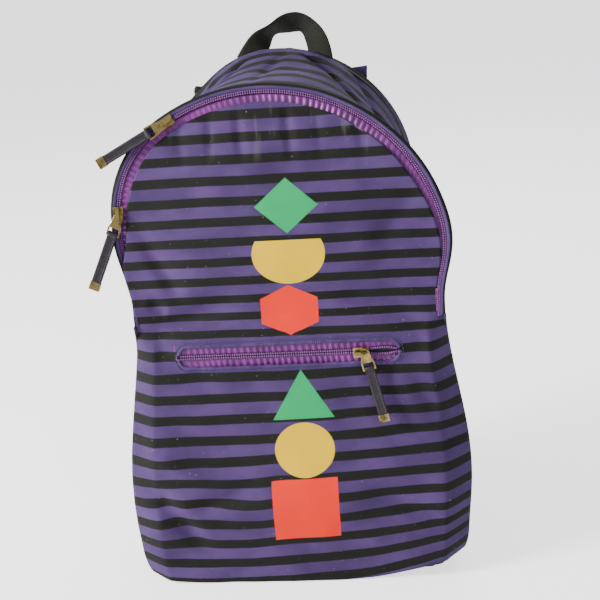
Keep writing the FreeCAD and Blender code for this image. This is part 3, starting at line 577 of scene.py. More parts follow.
def canvas(name, bands_along=1, start=0.0, pitch=PITCH, printed=False, wear=0.35, on_cloth=True):
    """Striped canvas; bands_along says which cloth coordinate the bands are counted on."""
    material, tree, shader = make_material(name, rough=0.82)
    if on_cloth:
        cloth = add(tree, "UVMap", uv_map="cloth").outputs[0]
    else:
        cloth = add(tree, "TexCoord").outputs["Object"]
    across = calc(tree, "SUBTRACT", add(tree, "SeparateXYZ", {0: cloth}).outputs[bands_along], start)
    bands = {"Cloth": cloth, "Across": across, "Pitch": pitch, "Share": BAND_SHARE, "Fray": 0.0012}
    mask = use(tree, STRIPES, bands)["Mask"]
    weave = use(tree, WEAVE, {"Cloth": cloth, "Thread": 0.85 * MM})
    rubbed = use(tree, WEAR, {"Cloth": cloth, "Amount": wear, "Scale": 14.0})
    cloud = noise(tree, cloth, 22.0, 4.0)
    ground = blend_colour(tree, step(tree, cloud, 0.3, 0.7), PURPLE_DEEP, PURPLE)
    # Painted sheen highlight and real rub wear: the wear mask turns the dark bands pale in patches.
    band_dye_wear_and_sheen = blend_colour(tree, calc(tree, "MULTIPLY", rubbed["Mask"], 0.6), BAND, BAND_WEAR_AND_SHEEN)
    mixed = blend_colour(tree, mask, ground, band_dye_wear_and_sheen)
    if printed:
        for kind, x, z, size, ink in PRINTS:
            there = shape_mask(tree, cloth, kind, x, z, size)
            there = calc(tree, "MULTIPLY", there, step(tree, rubbed["Grain"], 0.18, 0.3))
            mixed = blend_colour(tree, there, mixed, ink)
        parts = add(tree, "SeparateXYZ", {0: cloth}).outputs
        near_top = step(tree, parts[1], 395 * MM, 432 * MM)
        streak = add(tree, "Mapping", {"Vector": cloth, "Scale": (70.0, 9.0, 1.0)}).outputs[0]
        marks = step(tree, noise(tree, streak, 1.0, 3.0), 0.56, 0.74)
        marks = calc(tree, "MULTIPLY", calc(tree, "MULTIPLY", marks, near_top), 0.36)
        mixed = blend_colour(tree, marks, mixed, colour(150, 150, 138))
    fluff = step(tree, noise(tree, cloth, 420.0, 1.0), 0.76, 0.78)
    mixed = blend_colour(tree, calc(tree, "MULTIPLY", fluff, 0.3), mixed, LINT)
    # Painted shade: the weave's low places darken the canvas colour.
    tree.links.new(painted_hollow_shade(tree, mixed, weave["Height"], 0.22, 0.86), shader.inputs["Base Color"])
    tree.links.new(calc(tree, "MULTIPLY_ADD", weave["Slubs"], 0.2, 0.68), shader.inputs["Roughness"])
    shader.inputs["Sheen Weight"].default_value = 0.04
    shader.inputs["Sheen Roughness"].default_value = 0.4
    shader.inputs["Specular IOR Level"].default_value = 0.3
    bump(tree, shader, weave["Height"], 0.00022)
    return material


FRONT_CANVAS = canvas("printed canvas", start=BAND_START, printed=True)
PLAIN_CANVAS = canvas("plain canvas", start=BAND_START)
SIDE_CANVAS = canvas("striped canvas", bands_along=0)
STRAP_CANVAS = canvas("strap canvas", bands_along=2, on_cloth=False)
print("canvas pitch", PITCH, "with", len(PRINTS), "printed shapes")

# %% [markdown]
# The other woven finishes share two recipes.  A plain cloth is a weave over two close colours, and
# serves the matt lining and the satin zip tapes.  A ribbed one has ribs that run along it, and serves
# the webbing, the binding and the threads.

# %% Plain cloths, tape and webbing
def plain_cloth(name, main, second, thread, rough=0.85, sheen=0.05, depth=0.0002, cloudy=30.0):
    """Plain woven cloth: two close colours in clouds, with painted shade between its threads."""
    material, tree, shader = make_material(name, main, rough)
    cloth = add(tree, "UVMap", uv_map="cloth").outputs[0]
    weave = use(tree, WEAVE, {"Cloth": cloth, "Thread": thread})
    ground = blend_colour(tree, step(tree, noise(tree, cloth, cloudy, 4.0), 0.3, 0.7), second, main)
    # Painted shade: the weave's low places darken the cloth colour.
    tree.links.new(painted_hollow_shade(tree, ground, weave["Height"], 0.3, 0.8), shader.inputs["Base Color"])
    tree.links.new(calc(tree, "MULTIPLY_ADD", weave["Slubs"], 0.2, rough - 0.1), shader.inputs["Roughness"])
    shader.inputs["Sheen Weight"].default_value = sheen
    shader.inputs["Specular IOR Level"].default_value = 0.35
    bump(tree, shader, weave["Height"], depth)
    return material


def ribbed(name, main, second, ribs, rough=0.75, sheen=0.05):
    """Woven webbing: ribs run along it, and each rib is a row of short, slanted floats."""
    material, tree, shader = make_material(name, main, rough)
    cloth = add(tree, "UVMap", uv_map="cloth").outputs[0]
    parts = add(tree, "SeparateXYZ", {0: cloth}).outputs
    turns = 2 * math.pi / ribs
    rib = calc(tree, "SINE", calc(tree, "MULTIPLY", parts[0], turns))
    slant = calc(tree, "ADD", parts[1], calc(tree, "MULTIPLY", calc(tree, "ABSOLUTE", rib), ribs * 0.4))
    float_row = calc(tree, "SINE", calc(tree, "MULTIPLY", slant, turns * 1.1))
    height = calc(tree, "MULTIPLY_ADD", float_row, 0.22, calc(tree, "MULTIPLY_ADD", rib, 0.35, 0.5))
    cloud = step(tree, noise(tree, cloth, 60.0, 4.0), 0.3, 0.7)
    ground = blend_colour(tree, cloud, second, main)
    # Painted shade: the low places between ribs and floats darken the webbing colour.
    tree.links.new(painted_hollow_shade(tree, ground, height, 0.5, 0.62), shader.inputs["Base Color"])
    tree.links.new(calc(tree, "MULTIPLY_ADD", height, -0.15, rough), shader.inputs["Roughness"])
    shader.inputs["Sheen Weight"].default_value = sheen
    shader.inputs["Specular IOR Level"].default_value = 0.3
    bump(tree, shader, height, 0.0004)
    return material


LINING = plain_cloth("lining", colour(58, 54, 66), colour(46, 43, 54), 0.7 * MM)
ZIP_TAPE = plain_cloth("zip tape", colour(118, 46, 126), colour(88, 32, 98), 0.6 * MM, 0.42, 0.08, 0.0001)
OUTER_TAPE = plain_cloth("dark zip tape", colour(78, 48, 84), colour(60, 38, 66), 0.6 * MM, 0.6)
BINDING = ribbed("binding", colour(52, 50, 56), colour(40, 38, 44), 1.2 * MM)
HANDLE_WEB = ribbed("olive webbing", colour(30, 33, 18), colour(18, 20, 10), 1.6 * MM)
BLACK_WEB = ribbed("black webbing", colour(24, 24, 26), colour(14, 14, 16), 1.6 * MM)
THREAD = ribbed("thread", colour(70, 52, 112), colour(52, 38, 88), 0.5 * MM, 0.6)
DARK_THREAD = ribbed("dark thread", colour(64, 58, 70), colour(48, 44, 54), 0.5 * MM, 0.6)


# %% [markdown]
# The rest are not woven.  Each takes its pattern from the object's own coordinates: slick nylon coil,
# an air mesh of sunk holes, brass that has gone dull, soft leather and moulded plastic.

# %% Coil, mesh, metal, leather and plastic
def coil_finish():
    """Nylon coil: smooth and slightly glossy, in clouds of a darker and a lighter purple."""
    material, tree, shader = make_material("zip coil", rough=0.38)
    spot = add(tree, "TexCoord").outputs["Object"]
    mixed = blend_colour(tree, noise(tree, spot, 90.0), colour(84, 40, 96), colour(128, 74, 138))
    tree.links.new(mixed, shader.inputs["Base Color"])
    grain = noise(tree, spot, 1500.0, 2.0)
    tree.links.new(calc(tree, "MULTIPLY_ADD", grain, 0.25, 0.28), shader.inputs["Roughness"])
    bump(tree, shader, grain, 0.00005)
    return material


def air_mesh():
    """Spacer mesh: a net of round holes, sunk in the bump and made darker than the knitted bridges by
    painted shade.
    """
    material, tree, shader = make_material("air mesh", rough=0.9)
    spot = add(tree, "TexCoord").outputs["Object"]
    turned = add(tree, "Mapping", {"Vector": spot, "Scale": (1.0, 0.4, 1.0)}).outputs[0]
    cells = add(tree, "TexVoronoi", {"Vector": turned, "Scale": 330.0, "Randomness": 0.25})
    ridge = step(tree, cells.outputs["Distance"], 0.22, 0.46)
    knit = noise(tree, spot, 1400.0, 2.0)
    # Painted shade: the holes are coloured darker than the bridges between them.
    mixed = blend_colour(tree, ridge, colour(14, 14, 15), colour(44, 44, 47))
    tree.links.new(mixed, shader.inputs["Base Color"])
    tree.links.new(calc(tree, "MULTIPLY_ADD", knit, 0.2, 0.74), shader.inputs["Roughness"])
    shader.inputs["Sheen Weight"].default_value = 0.1
    bump(tree, shader, calc(tree, "MULTIPLY_ADD", knit, 0.2, ridge), 0.0006)
    return material


def brass_finish():
    """Antique brass: pale where it rubs, brown where air has dulled it, with fine scratches."""
    material, tree, shader = make_material("antique brass", rough=0.35)
    spot = add(tree, "TexCoord").outputs["Object"]
    dull = step(tree, noise(tree, spot, 110.0, 4.0, 0.55), 0.40, 0.66)
    scratch = add(tree, "Mapping", {"Vector": spot, "Scale": (400.0, 400.0, 5200.0)}).outputs[0]
    lines = noise(tree, scratch, 1.0, 3.0)
    mixed = blend_colour(tree, dull, colour(176, 156, 98), colour(88, 74, 40))
    tree.links.new(mixed, shader.inputs["Base Color"])
    shader.inputs["Metallic"].default_value = 1.0
    rough = calc(tree, "MULTIPLY_ADD", dull, 0.22, calc(tree, "MULTIPLY_ADD", lines, 0.18, 0.18))
    tree.links.new(rough, shader.inputs["Roughness"])
    bump(tree, shader, lines, 0.00003)
    return material


def leather_finish():
    """Soft leather: pebbled grain, cracked where it bends, with a paler, rubbed surface."""
    material, tree, shader = make_material("leather", rough=0.55)
    spot = add(tree, "TexCoord").outputs["Object"]
    cells = {"Vector": spot, "Scale": 1100.0}
    pebble = add(tree, "TexVoronoi", cells, feature="SMOOTH_F1").outputs["Distance"]
    folds = noise(tree, spot, 260.0, 4.0, 0.6)
    rubbed = use(tree, WEAR, {"Cloth": spot, "Amount": 0.55, "Scale": 120.0})["Mask"]
    mixed = blend_colour(tree, step(tree, folds, 0.35, 0.65), colour(14, 10, 16), colour(28, 20, 32))
    mixed = blend_colour(tree, calc(tree, "MULTIPLY", rubbed, 0.35), mixed, colour(92, 80, 92))
    tree.links.new(mixed, shader.inputs["Base Color"])
    tree.links.new(calc(tree, "MULTIPLY_ADD", pebble, 0.3, 0.28), shader.inputs["Roughness"])
    bump(tree, shader, calc(tree, "MULTIPLY_ADD", folds, 0.6, pebble), 0.00025)
    return material


def plastic_finish():
    """Moulded plastic: nearly black, with a fine spark-eroded grain and a few pale scuffs."""
    material, tree, shader = make_material("black plastic", rough=0.45)
    spot = add(tree, "TexCoord").outputs["Object"]
    grain = noise(tree, spot, 2200.0, 2.0)
    scuff = use(tree, WEAR, {"Cloth": spot, "Amount": 0.3, "Scale": 90.0})["Mask"]
    mixed = blend_colour(tree, calc(tree, "MULTIPLY", scuff, 0.4), colour(22, 22, 24), colour(70, 70, 72))
    tree.links.new(mixed, shader.inputs["Base Color"])
    tree.links.new(calc(tree, "MULTIPLY_ADD", grain, 0.25, 0.32), shader.inputs["Roughness"])
    bump(tree, shader, grain, 0.00008)
    return material


ZIP_COIL, AIR_MESH = coil_finish(), air_mesh()
BRASS, LEATHER, PLASTIC = brass_finish(), leather_finish(), plastic_finish()
print(len(bpy.data.materials), "finishes")


# %% [markdown]
# A soft bag never holds the flat shape it was sewn from.  One settling field moves every cloth piece
# in the same way, so that neighbours stay joined at their seams: the sides are drawn in at the fold,
# where the two halves of the bag buckle, and the lower half bellies out and rounds its corners.

# %% How the bag settles
MIDDLE_X = (LEFT + RIGHT) / 2
HALF_WIDTH = (RIGHT - LEFT) / 2
DEPTH = BACK_Y - PLANE_Y
PINCH = 13 * MM  # how far each side is drawn in at the fold
SHOULDER_DROP = 8 * MM  # how far the left shoulder of the back seam sinks
BELLY = 6 * MM  # how far the lower front bellies out
SLACK_LEFT, SLACK_RIGHT = 6 * MM, 5.2 * MM  # how far the sides of the lower half spread
HIP = 1.8 * MM  # how far the right side is drawn in above the fold
CUT_LEFT, CUT_RIGHT = 7 * MM, 5 * MM  # how far the feet of the lower corners are cut in
TURN_LEFT, TURN_RIGHT = 15 * MM, 21 * MM  # how far the lower corners turn back
TURN_FROM = 0.85  # where on the half width, 0 to 1, the turn begins
LIFT_RIGHT, LIFT_LEFT = 17 * MM, 4 * MM  # how far each lower corner stands off the ground


def pinch(z):
    """How far each side is drawn in at height z: a bell at the fold, gone where the sliders rest."""
    above = 1 - smooth(z, FOLD_Z + 15 * MM, FOLD_Z + 84 * MM)
    return PINCH * hump(z, FOLD_Z + 4 * MM, 78 * MM) * above


def slump(points):
    """Lets the left shoulder of the back seam sink towards the arch's middle by up to 8 mm."""
    p = np.array(points, float)
    way = np.stack([p[..., 0] - BACK_X, 0 * p[..., 1], p[..., 2] - BACK_RISE], -1)
    radius = np.maximum(np.linalg.norm(way, axis=-1), 1e-6)
    angle = np.degrees(np.arctan2(way[..., 2], way[..., 0]))
    share = hump(angle, 134, 22) * smooth(radius, 50 * MM, 110 * MM) * smooth(p[..., 1], -30 * MM, 50 * MM)
    return p - way / radius[..., None] * (share * SHOULDER_DROP)[..., None]


def settle(points):
    """Moves points of cloth: in at the fold, forward over the belly, and round at the lower corners."""
    p = slump(points)
    x, y, z = p[..., 0].copy(), p[..., 1].copy(), p[..., 2].copy()
    side = np.clip((x - MIDDLE_X) / HALF_WIDTH, -1.1, 1.1)
    front = 1 - smooth(y, PLANE_Y - 5 * MM, BACK_Y)
    weight = 0.25 + 0.75 * front
    spread_left, spread_right = hump(z, 82 * MM, 66 * MM), hump(z, 100 * MM, 62 * MM)
    slack = np.where(side > 0, SLACK_RIGHT * spread_right, SLACK_LEFT * spread_left)
    foot = np.clip(1 - z / (24 * MM), 0, 1)
    low = np.where(side > 0, CUT_RIGHT, CUT_LEFT) * (1 - np.sqrt(1 - foot**2))
    slack = slack - HIP * hump(z, 310 * MM, 60 * MM) * (side > 0)
    drawn = np.abs(side) ** 3 * weight * (pinch(z) - slack) + np.abs(side) ** 6 * low * weight
    p[..., 0] -= np.sign(side) * drawn
    below = 1 - smooth(z, FOLD_Z - 30 * MM, FOLD_Z + 8 * MM)
    facing = 1 - smooth(y, PLANE_Y, PLANE_Y + 60 * MM)
    turn = np.clip((np.abs(side) - TURN_FROM) / (1 - TURN_FROM), 0, 1.2)
    corner = np.where(side > 0, TURN_RIGHT, TURN_LEFT) * turn**1.2 * below
    belly = BELLY * hump(z, 70 * MM, 46 * MM) * (1 - side**2)
    p[..., 1] += facing * (corner - belly)
    lift = LIFT_RIGHT * smooth(side, 0.2, 1.0) ** 1.5 * (1 - smooth(z, 0.0, 80 * MM))
    lift += LIFT_LEFT * smooth(-side, 0.55, 1.0) ** 1.5 * (1 - smooth(z, 0.0, 60 * MM))
    p[..., 2] += lift * (0.15 + 0.85 * front)
    return p


print("drawn in at the fold by", round(float(pinch(FOLD_Z)) / MM, 1), "mm on each side")

# %% [markdown]
# The front is a single cloth from the base to the top of the dome; it folds where the zip ends.
# Rows of points run up the cloth.  Below the fold they are as wide as the bag; above it they span
# the dome's cut edge, and close in as the arch does.  The crown of the flap, the long drag lines
# towards the zip pull and the slumps near the fold are added as smooth hills and valleys.

# %% The front's shape
def flap_edge(extra=0.0):
    """The flap's cut edge: EDGE in from the rim, nearer down the legs, and over the zip at the left."""
    wide, near, over = dome(EDGE + extra), dome(8.6 * MM + extra), dome(1.8 * MM + extra)
    up = wide[:, 1]
    legs = (1 - smooth(up, 20 * MM, 130 * MM))[:, None]
    hidden = ((1 - smooth(up, 40 * MM, 74 * MM)) * (wide[:, 0] < 0))[:, None]
    line = wide * (1 - legs) + near * legs
    return line * (1 - hidden) + over * hidden


def tucked(x, up):
    """How far the zip sinks behind the cloth: down its left leg, and where it ends on the right."""
    left = (1 - smooth(up, 44 * MM, 78 * MM)) * (x < 0)
    right = (1 - smooth(up, 0.0, 18 * MM)) * (x > 0)
    return 7 * MM * left + 5 * MM * right


EDGE_LINE = flap_edge()
TOP = int(np.argmax(EDGE_LINE[:, 1]))
FLAP_TOP = EDGE_LINE[TOP, 1]
POCKET_Z = JOINTS["pocket_link_swing"]["pos_m"][2]
SLOT_LEFT, SLOT_RIGHT, SLOT_HALF = -102 * MM, 89 * MM, 9.6 * MM


def flap_span(up):
    """Left and right ends of the flap's cut edge at a height up the leaning plane."""
    right = np.interp(up, EDGE_LINE[: TOP + 1, 1], EDGE_LINE[: TOP + 1, 0])
    left = np.interp(up, EDGE_LINE[TOP:, 1][::-1], EDGE_LINE[TOP:, 0][::-1])
    return left, right


FOLD_BAND = 231 * MM


def band_height(x, h):
    """The cloth's own height at a place, where its bands are counted.

    Above the fold the cloth is gathered, so band k lies 14.6 k + 0.16 k^2 mm up; this is solved for k.
    Below it the bands rise to the right, and wave where the lower left corner has slumped."""
    past = np.maximum(h - FOLD_BAND, 0.0) / MM
    band = (np.sqrt(14.6**2 + 0.64 * past) - 14.6) / 0.32
    plain = np.minimum(h, FOLD_BAND + 1 * MM) + band * PITCH
    share = np.clip((x + 85 * MM) / (175 * MM), 0.0, 1.4)
    rise = 8.5 * MM * share**1.3 * (1 - smooth(h, 50 * MM, FOLD_BAND))
    slumped = hump(h, 75 * MM, 42 * MM) * smooth(-x, 0.0, 40 * MM)
    wave = 2.2 * MM * np.sin((x + 130 * MM) / (17.5 * MM)) * slumped
    return plain - rise - wave


# Each crease, in mm on the cloth: where it starts and ends, how wide it is and how deep; a ridge is under 0.
CREASES = (
    ((118, 236), (30, 268), 9, 3.2),
    ((122, 222), (58, 190), 11, 2.6),
    ((-128, 236), (-40, 262), 10, 3.0),
    ((-132, 226), (-70, 190), 12, 3.4),
    ((-120, 150), (-20, 110), 16, 1.8),
    ((-134, 96), (-86, 30), 9, 4.2),
    ((-118, 92), (-70, 34), 12, -1.6),
    ((-100, 70), (-40, 92), 9, 3.0),
    ((-130, 128), (-84, 100), 8, -2.2),
    ((116, 52), (60, 84), 8, 2.4),
    ((128, 120), (96, 200), 10, 2.4),
    ((-96, 262), (-128, 330), 8, 2.6),
    ((-112, 252), (-128, 262), 6, 2.4),
    ((60, 160), (128, 120), 14, 2.4),
    ((-60, 330), (40, 385), 16, 1.4),
    ((70, 300), (112, 350), 10, 1.8),
    ((-110, 60), (20, 40), 16, 1.6),
    ((40, 70), (125, 90), 18, 2.0),
)
# Each pucker under the arch, in mm: where it is across the cloth, and how deep.
PUCKERS = ((-62, 1.0), (-38, 1.3), (2, 1.5), (26, 0.9), (60, 1.0), (-88, 0.9))
RELIEF = 1.6 * MM


def front_relief(x, h):
    """How far the front stands off its flat cut: dents are negative, and it stays behind the pulls."""
    a, b = x / MM, h / MM
    radius = np.hypot(a + 19, np.maximum(b - 278, 0)) / 140
    total = 4.5 * np.clip(1 - radius**2, 0, 1) ** 1.5 * smooth(b, 250, 300)
    for start, end, width, depth in CREASES:
        total = total - crease(a, b, start, end, width, depth)
    for at, depth in PUCKERS:
        total = total - crease(a, b, (at, 416), (at + 3, 372), 4.5, depth)
    total = total - 2.4 * hump(b, 242, 14) * (1 - hump(a, 0, 60) * 0.6)
    total = total + 0.8 * ripple(a, b, 95, 1.0) + 0.35 * ripple(a, b, 34, 2.6)
    total = total - 1.6 * hump(a, 57, 34) * smooth(b, 130, 150) * (1 - smooth(b, 214, 236))
    lips = hump(b, POCKET_Z / MM, 16) * smooth(a, -125, -95) * (1 - smooth(a, 84, 112))
    ceiling = 0.1 + 7 * (1 - smooth(b, 112, 134))
    total = np.where(b < 240, np.minimum(total, ceiling), total)
    return total * (1 - lips * 0.85) * RELIEF


def front_point(x, h):
    """The front at cloth coordinates: straight up to the fold, then up the leaning plane, rounded."""
    soft = 22 * MM
    past = h - FOLD_Z
    bend = LEAN * smooth(past, -soft, soft)
    up = np.maximum(past, 0.0)
    y = PLANE_Y + up * UPHILL[1]
    z = np.where(past < 0, h, FOLD_Z + up * UPHILL[2])
    y = y - 1.4 * MM + 1.6 * MM * hump(past, 0.0, 16 * MM)
    off = front_relief(x, h)
    return np.stack([x, y - off * np.cos(bend), z + off * np.sin(bend)], -1)


COLUMNS, ROWS_LOW, ROWS_HIGH = 124, 104, 92
across = np.linspace(0, 1, COLUMNS)
low_h = np.linspace(1.0 * MM, FOLD_Z, ROWS_LOW)
angle = np.linspace(0, math.pi / 2, ROWS_HIGH)[1:]
high_h = FOLD_Z + (FLAP_TOP - 0.15 * MM) * np.sin(angle) ** 0.9
fold_left, fold_right = flap_span(0.0)
low_x = LEFT + across * (RIGHT - LEFT)
inner = (low_x > fold_left - 1e-9) & (low_x < fold_right)
first, last = int(np.argmax(inner)), COLUMNS - 1 - int(np.argmax(inner[::-1]))
print("columns", first, "to", last, "go on up the flap")


def front_mesh():
    """Rows below the fold are LEFT to RIGHT; rows above are a share of the flap's span."""
    knots = low_x + (fold_left - low_x[first]) * hump(across, across[first], 0.05)
    knots = knots + (fold_right - knots[last]) * hump(across, across[last], 0.05)
    x_low = np.broadcast_to(knots, (ROWS_LOW, COLUMNS))
    h_low = np.broadcast_to(low_h[:, None], x_low.shape)
    share = (knots[first : last + 1] - knots[first]) / (knots[last] - knots[first])
    left, right = flap_span(high_h - FOLD_Z)
    x_high = left[:, None] + share[None] * (right - left)[:, None]
    h_high = np.broadcast_to(high_h[:, None], x_high.shape)
    grids = (np.stack([x_low, h_low], -1), np.stack([x_high, h_high], -1))
    cloth = np.concatenate([grid.reshape(-1, 2) for grid in grids])
    faces = grid_faces(ROWS_LOW, COLUMNS)
    base, wide = ROWS_LOW * COLUMNS, last + 1 - first
    faces_high = grid_faces(len(high_h), wide) + base
    below = (ROWS_LOW - 1) * COLUMNS + np.arange(first, last + 1)
    above = base + np.arange(wide)
    joint = np.stack([below[:-1], below[1:], above[1:], above[:-1]], 1)
    return cloth, np.concatenate([faces, joint, faces_high])


def snap_to_slot(cloth, faces):
    """Cuts the pocket's slot: near points move onto its outline and faces inside it go away."""
    x = np.clip(cloth[:, 0], SLOT_LEFT + SLOT_HALF, SLOT_RIGHT - SLOT_HALF)
    away = cloth - np.stack([x, np.full_like(x, POCKET_Z)], 1)
    far = np.linalg.norm(away, axis=1)
    near = np.abs(far - SLOT_HALF) < 1.45 * MM
    cloth = cloth.copy()
    centre = np.stack([x, np.full_like(x, POCKET_Z)], 1)
    cloth[near] = centre[near] + away[near] / far[near, None] * SLOT_HALF
    x = np.clip(cloth[:, 0], SLOT_LEFT + SLOT_HALF, SLOT_RIGHT - SLOT_HALF)
    far = np.hypot(cloth[:, 0] - x, cloth[:, 1] - POCKET_Z)
    inside = (far < SLOT_HALF + 0.05 * MM)[faces].all(1)
    return cloth, faces[~inside]


cloth, faces = snap_to_slot(*front_mesh())
points = settle(front_point(cloth[:, 0], cloth[:, 1]))
bands = np.stack([cloth[:, 0], band_height(cloth[:, 0], cloth[:, 1])], 1)
front = piece("front_canvas", points, faces, [FRONT_CANVAS, LINING], uv=bands)
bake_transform(front)
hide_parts("front_lower", "front_flap")
thicken(front, 1.3 * MM, inside=1)
print("front:", len(front.data.polygons), "faces")

# %% [markdown]
# The gusset is the long strip round the dome between the front zip and the back.  Its front edge is
# turned over and rolls round onto the zip; from there each station's profile runs to the back seam
# with some slack, so it sags between the two arches.  Creases run across it where the empty bag has
# been squashed.  Its bands run lengthwise, because it is cut along the cloth.

# %% The gusset
STATIONS, ACROSS_GUSSET = 300, 46
GUSSET_FOOT = 262 * MM


def back_arch(inset, y, foot, spacing):
    """The back's edge from its right foot to its left foot: leg, half circle, leg, as points."""
    r = BACK_HALF - inset
    a = np.linspace(0, math.pi, 200)
    half_circle = np.stack([BACK_X + r * np.cos(a), BACK_RISE + r * np.sin(a)], 1)
    flat = even(np.concatenate([[[BACK_X + r, foot]], half_circle, [[BACK_X - r, foot]]]), spacing)
    return np.stack([flat[:, 0], np.full(len(flat), y), flat[:, 1]], 1)


def gusset_surface():
    """Front roll: an arc from the zip over the outer edge; then a straight run with slack to the back."""
    rim = dome(0.0)
    run = run_along(rim)
    at = np.linspace(0, run[-1], STATIONS)

    def line(inset):
        d = dome(inset)
        return np.stack([np.interp(at, run, d[:, 0]), np.interp(at, run, d[:, 1])], 1)

    rows = []
    turn = np.linspace(math.radians(200), math.radians(20), 9)
    for a in turn:
        flat = line(2.9 * MM - 2.9 * MM * math.cos(a))
        off = -0.4 * MM + 2.6 * MM * math.sin(a) - 0.7 * tucked(flat[:, 0], flat[:, 1])
        rows.append(on_plane(flat[:, 0], flat[:, 1], off))
    start = rows[-1]
    end = resampled(back_arch(0.0, BACK_Y, GUSSET_FOOT, 1 * MM), STATIONS)
    share = np.linspace(0, 1, ACROSS_GUSSET - len(turn) + 1)[1:]
    away = end - start
    along = np.gradient(start, axis=0)
    out = unit(np.cross(away, along))
    spot = np.linspace(0, 1, STATIONS)
    for s in share:
        sag = gusset_relief(spot, s)
        rows.append(start + away * s + out * sag[:, None])
    grid = np.stack(rows)
    gap = np.linalg.norm(np.diff(grid, axis=0), axis=-1)
    across = np.concatenate([np.zeros((1, STATIONS)), np.cumsum(gap, axis=0)])
    return grid, np.stack([across, np.broadcast_to(at, across.shape)], -1)


# Each crease across the gusset: its place along the arch, its slant, its depth in mm and its width.
GUSSET_CREASES = (
    (0.385, 0.16, 5.0, 0.010),
    (0.60, -0.12, 5.5, 0.010),
    (0.655, -0.10, -3.0, 0.012),
    (0.30, 0.12, 3.5, 0.012),
    (0.68, 0.06, 3.0, 0.012),
    (0.79, -0.05, 2.4, 0.014),
    (0.20, 0.05, 2.6, 0.014),
    (0.92, 0.03, 2.4, 0.012),
    (0.50, -0.05, 2.4, 0.010),
    (0.10, 0.03, 2.2, 0.014),
)


def gusset_relief(spot, share):
    """Sag: none at either seam; along the arch the sag changes, and creases cross it on a slant."""
    middle = np.sin(np.pi * share) ** 0.8
    ends = smooth(spot, 0.0, 0.07) * (1 - smooth(spot, 0.93, 1.0))
    full = -3.0 - 7.0 * hump(spot, 0.24, 0.13) - 9.0 * hump(spot, 0.70, 0.10) - 3.0 * hump(spot, 0.86, 0.08)
    full = full + 3.5 * hump(spot, 0.45, 0.07)
    ridge = 0.0
    for at, slant, depth, width in GUSSET_CREASES:
        ridge = ridge + depth * hump(spot, at + slant * (share - 0.5), width)
    seam = 0.8 * hump(share, 0.97, 0.03)
    waves = 1.3 * ripple(spot * 640, share * 130, 70, 3.0) + 0.5 * ripple(spot * 640, share * 130, 24, 1.0)
    return ends * (middle * (full - ridge + waves) - seam) * MM


grid, flat = gusset_surface()
grid = settle(grid)
faces = grid_faces(*grid.shape[:2])
gusset = piece("gusset_canvas", grid, faces, [SIDE_CANVAS, LINING], "bag", flat)
if (normals_of(grid)[20, STATIONS // 2] @ np.array([0, 0, 1.0])) < 0:
    gusset.data.flip_normals()
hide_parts("gusset")
thicken(gusset, 1.2 * MM, inside=1)
print("gusset:", len(gusset.data.polygons), "faces,", round(float(flat[-1, :, 0].mean()), 3), "m across")

# %% [markdown]
# The side panels go on down from the gusset's feet to the base.  Each hangs between the front seam
# and the back seam, fuller in the middle, with upright folds where the bag stands slack.

# %% Side panels
def side_panel(name, side, seed):
    """Straight runs from front seam to back seam, bulged by sin(pi share) and crossed by soft folds."""
    rows, columns = 96, 44
    t = np.linspace(0, 1, rows)[:, None]
    s = np.linspace(0, 1, columns)[None]
    front_x = LEFT if side < 0 else RIGHT
    back_x = BACK_X + side * BACK_HALF
    top = FOLD_Z + (GUSSET_FOOT - FOLD_Z) * s
    x = front_x + (back_x - front_x) * s + 0 * t
    y = PLANE_Y + DEPTH * s + 0 * t
    z = 1.0 * MM + (top - 1.0 * MM) * t
    middle = np.sin(np.pi * s) ** 0.8
    full = 4.0 * np.sin(np.pi * np.clip(t, 0, 1)) ** 0.7 - 4.5 * hump(t, 0.97, 0.12)
    folds = 3.2 * hump(s, 0.34 + 0.12 * t, 0.07) * smooth(t, 0.15, 0.5) + 2.6 * hump(s, 0.68 - 0.1 * t, 0.06)
    folds = folds + 3.0 * hump(t + 0.16 * s, 0.78, 0.045) + 2.4 * hump(t - 0.12 * s, 0.42, 0.05)
    relief = middle * (full - folds + 1.0 * ripple(s * 130, t * 240, 80, seed)) * MM
    relief = relief * (1 - smooth(t, 0.92, 1.0)) * smooth(t, 0.0, 0.06)
    grid = settle(np.stack([x + side * relief, y, z], -1))
    level = band_height(np.full_like(z, front_x), z - 0.06 * s * DEPTH)
    flat = np.stack([front_x + side * s * DEPTH + 0 * t, level], -1)
    cloths = [FRONT_CANVAS, LINING]
    made = piece(f"{name}_canvas", grid, grid_faces(rows, columns), cloths, "bag", flat)
    if normals_of(grid)[rows // 2, columns // 2, 0] * side < 0:
        made.data.flip_normals()
    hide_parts(name)
    thicken(made, 1.2 * MM, inside=1)
    return grid


left_side = side_panel("left_side_panel", -1, 4.0)
right_side = side_panel("right_side_panel", 1, 5.5)
print("side panels from", np.round(left_side[0, 0], 3), "to", np.round(right_side[-1, -1], 3))


# %% [markdown]
# The base is the panel the bag stands on.  It is flat where it touches the ground and turns up a
# little at its edges, so that its seams meet the walls.

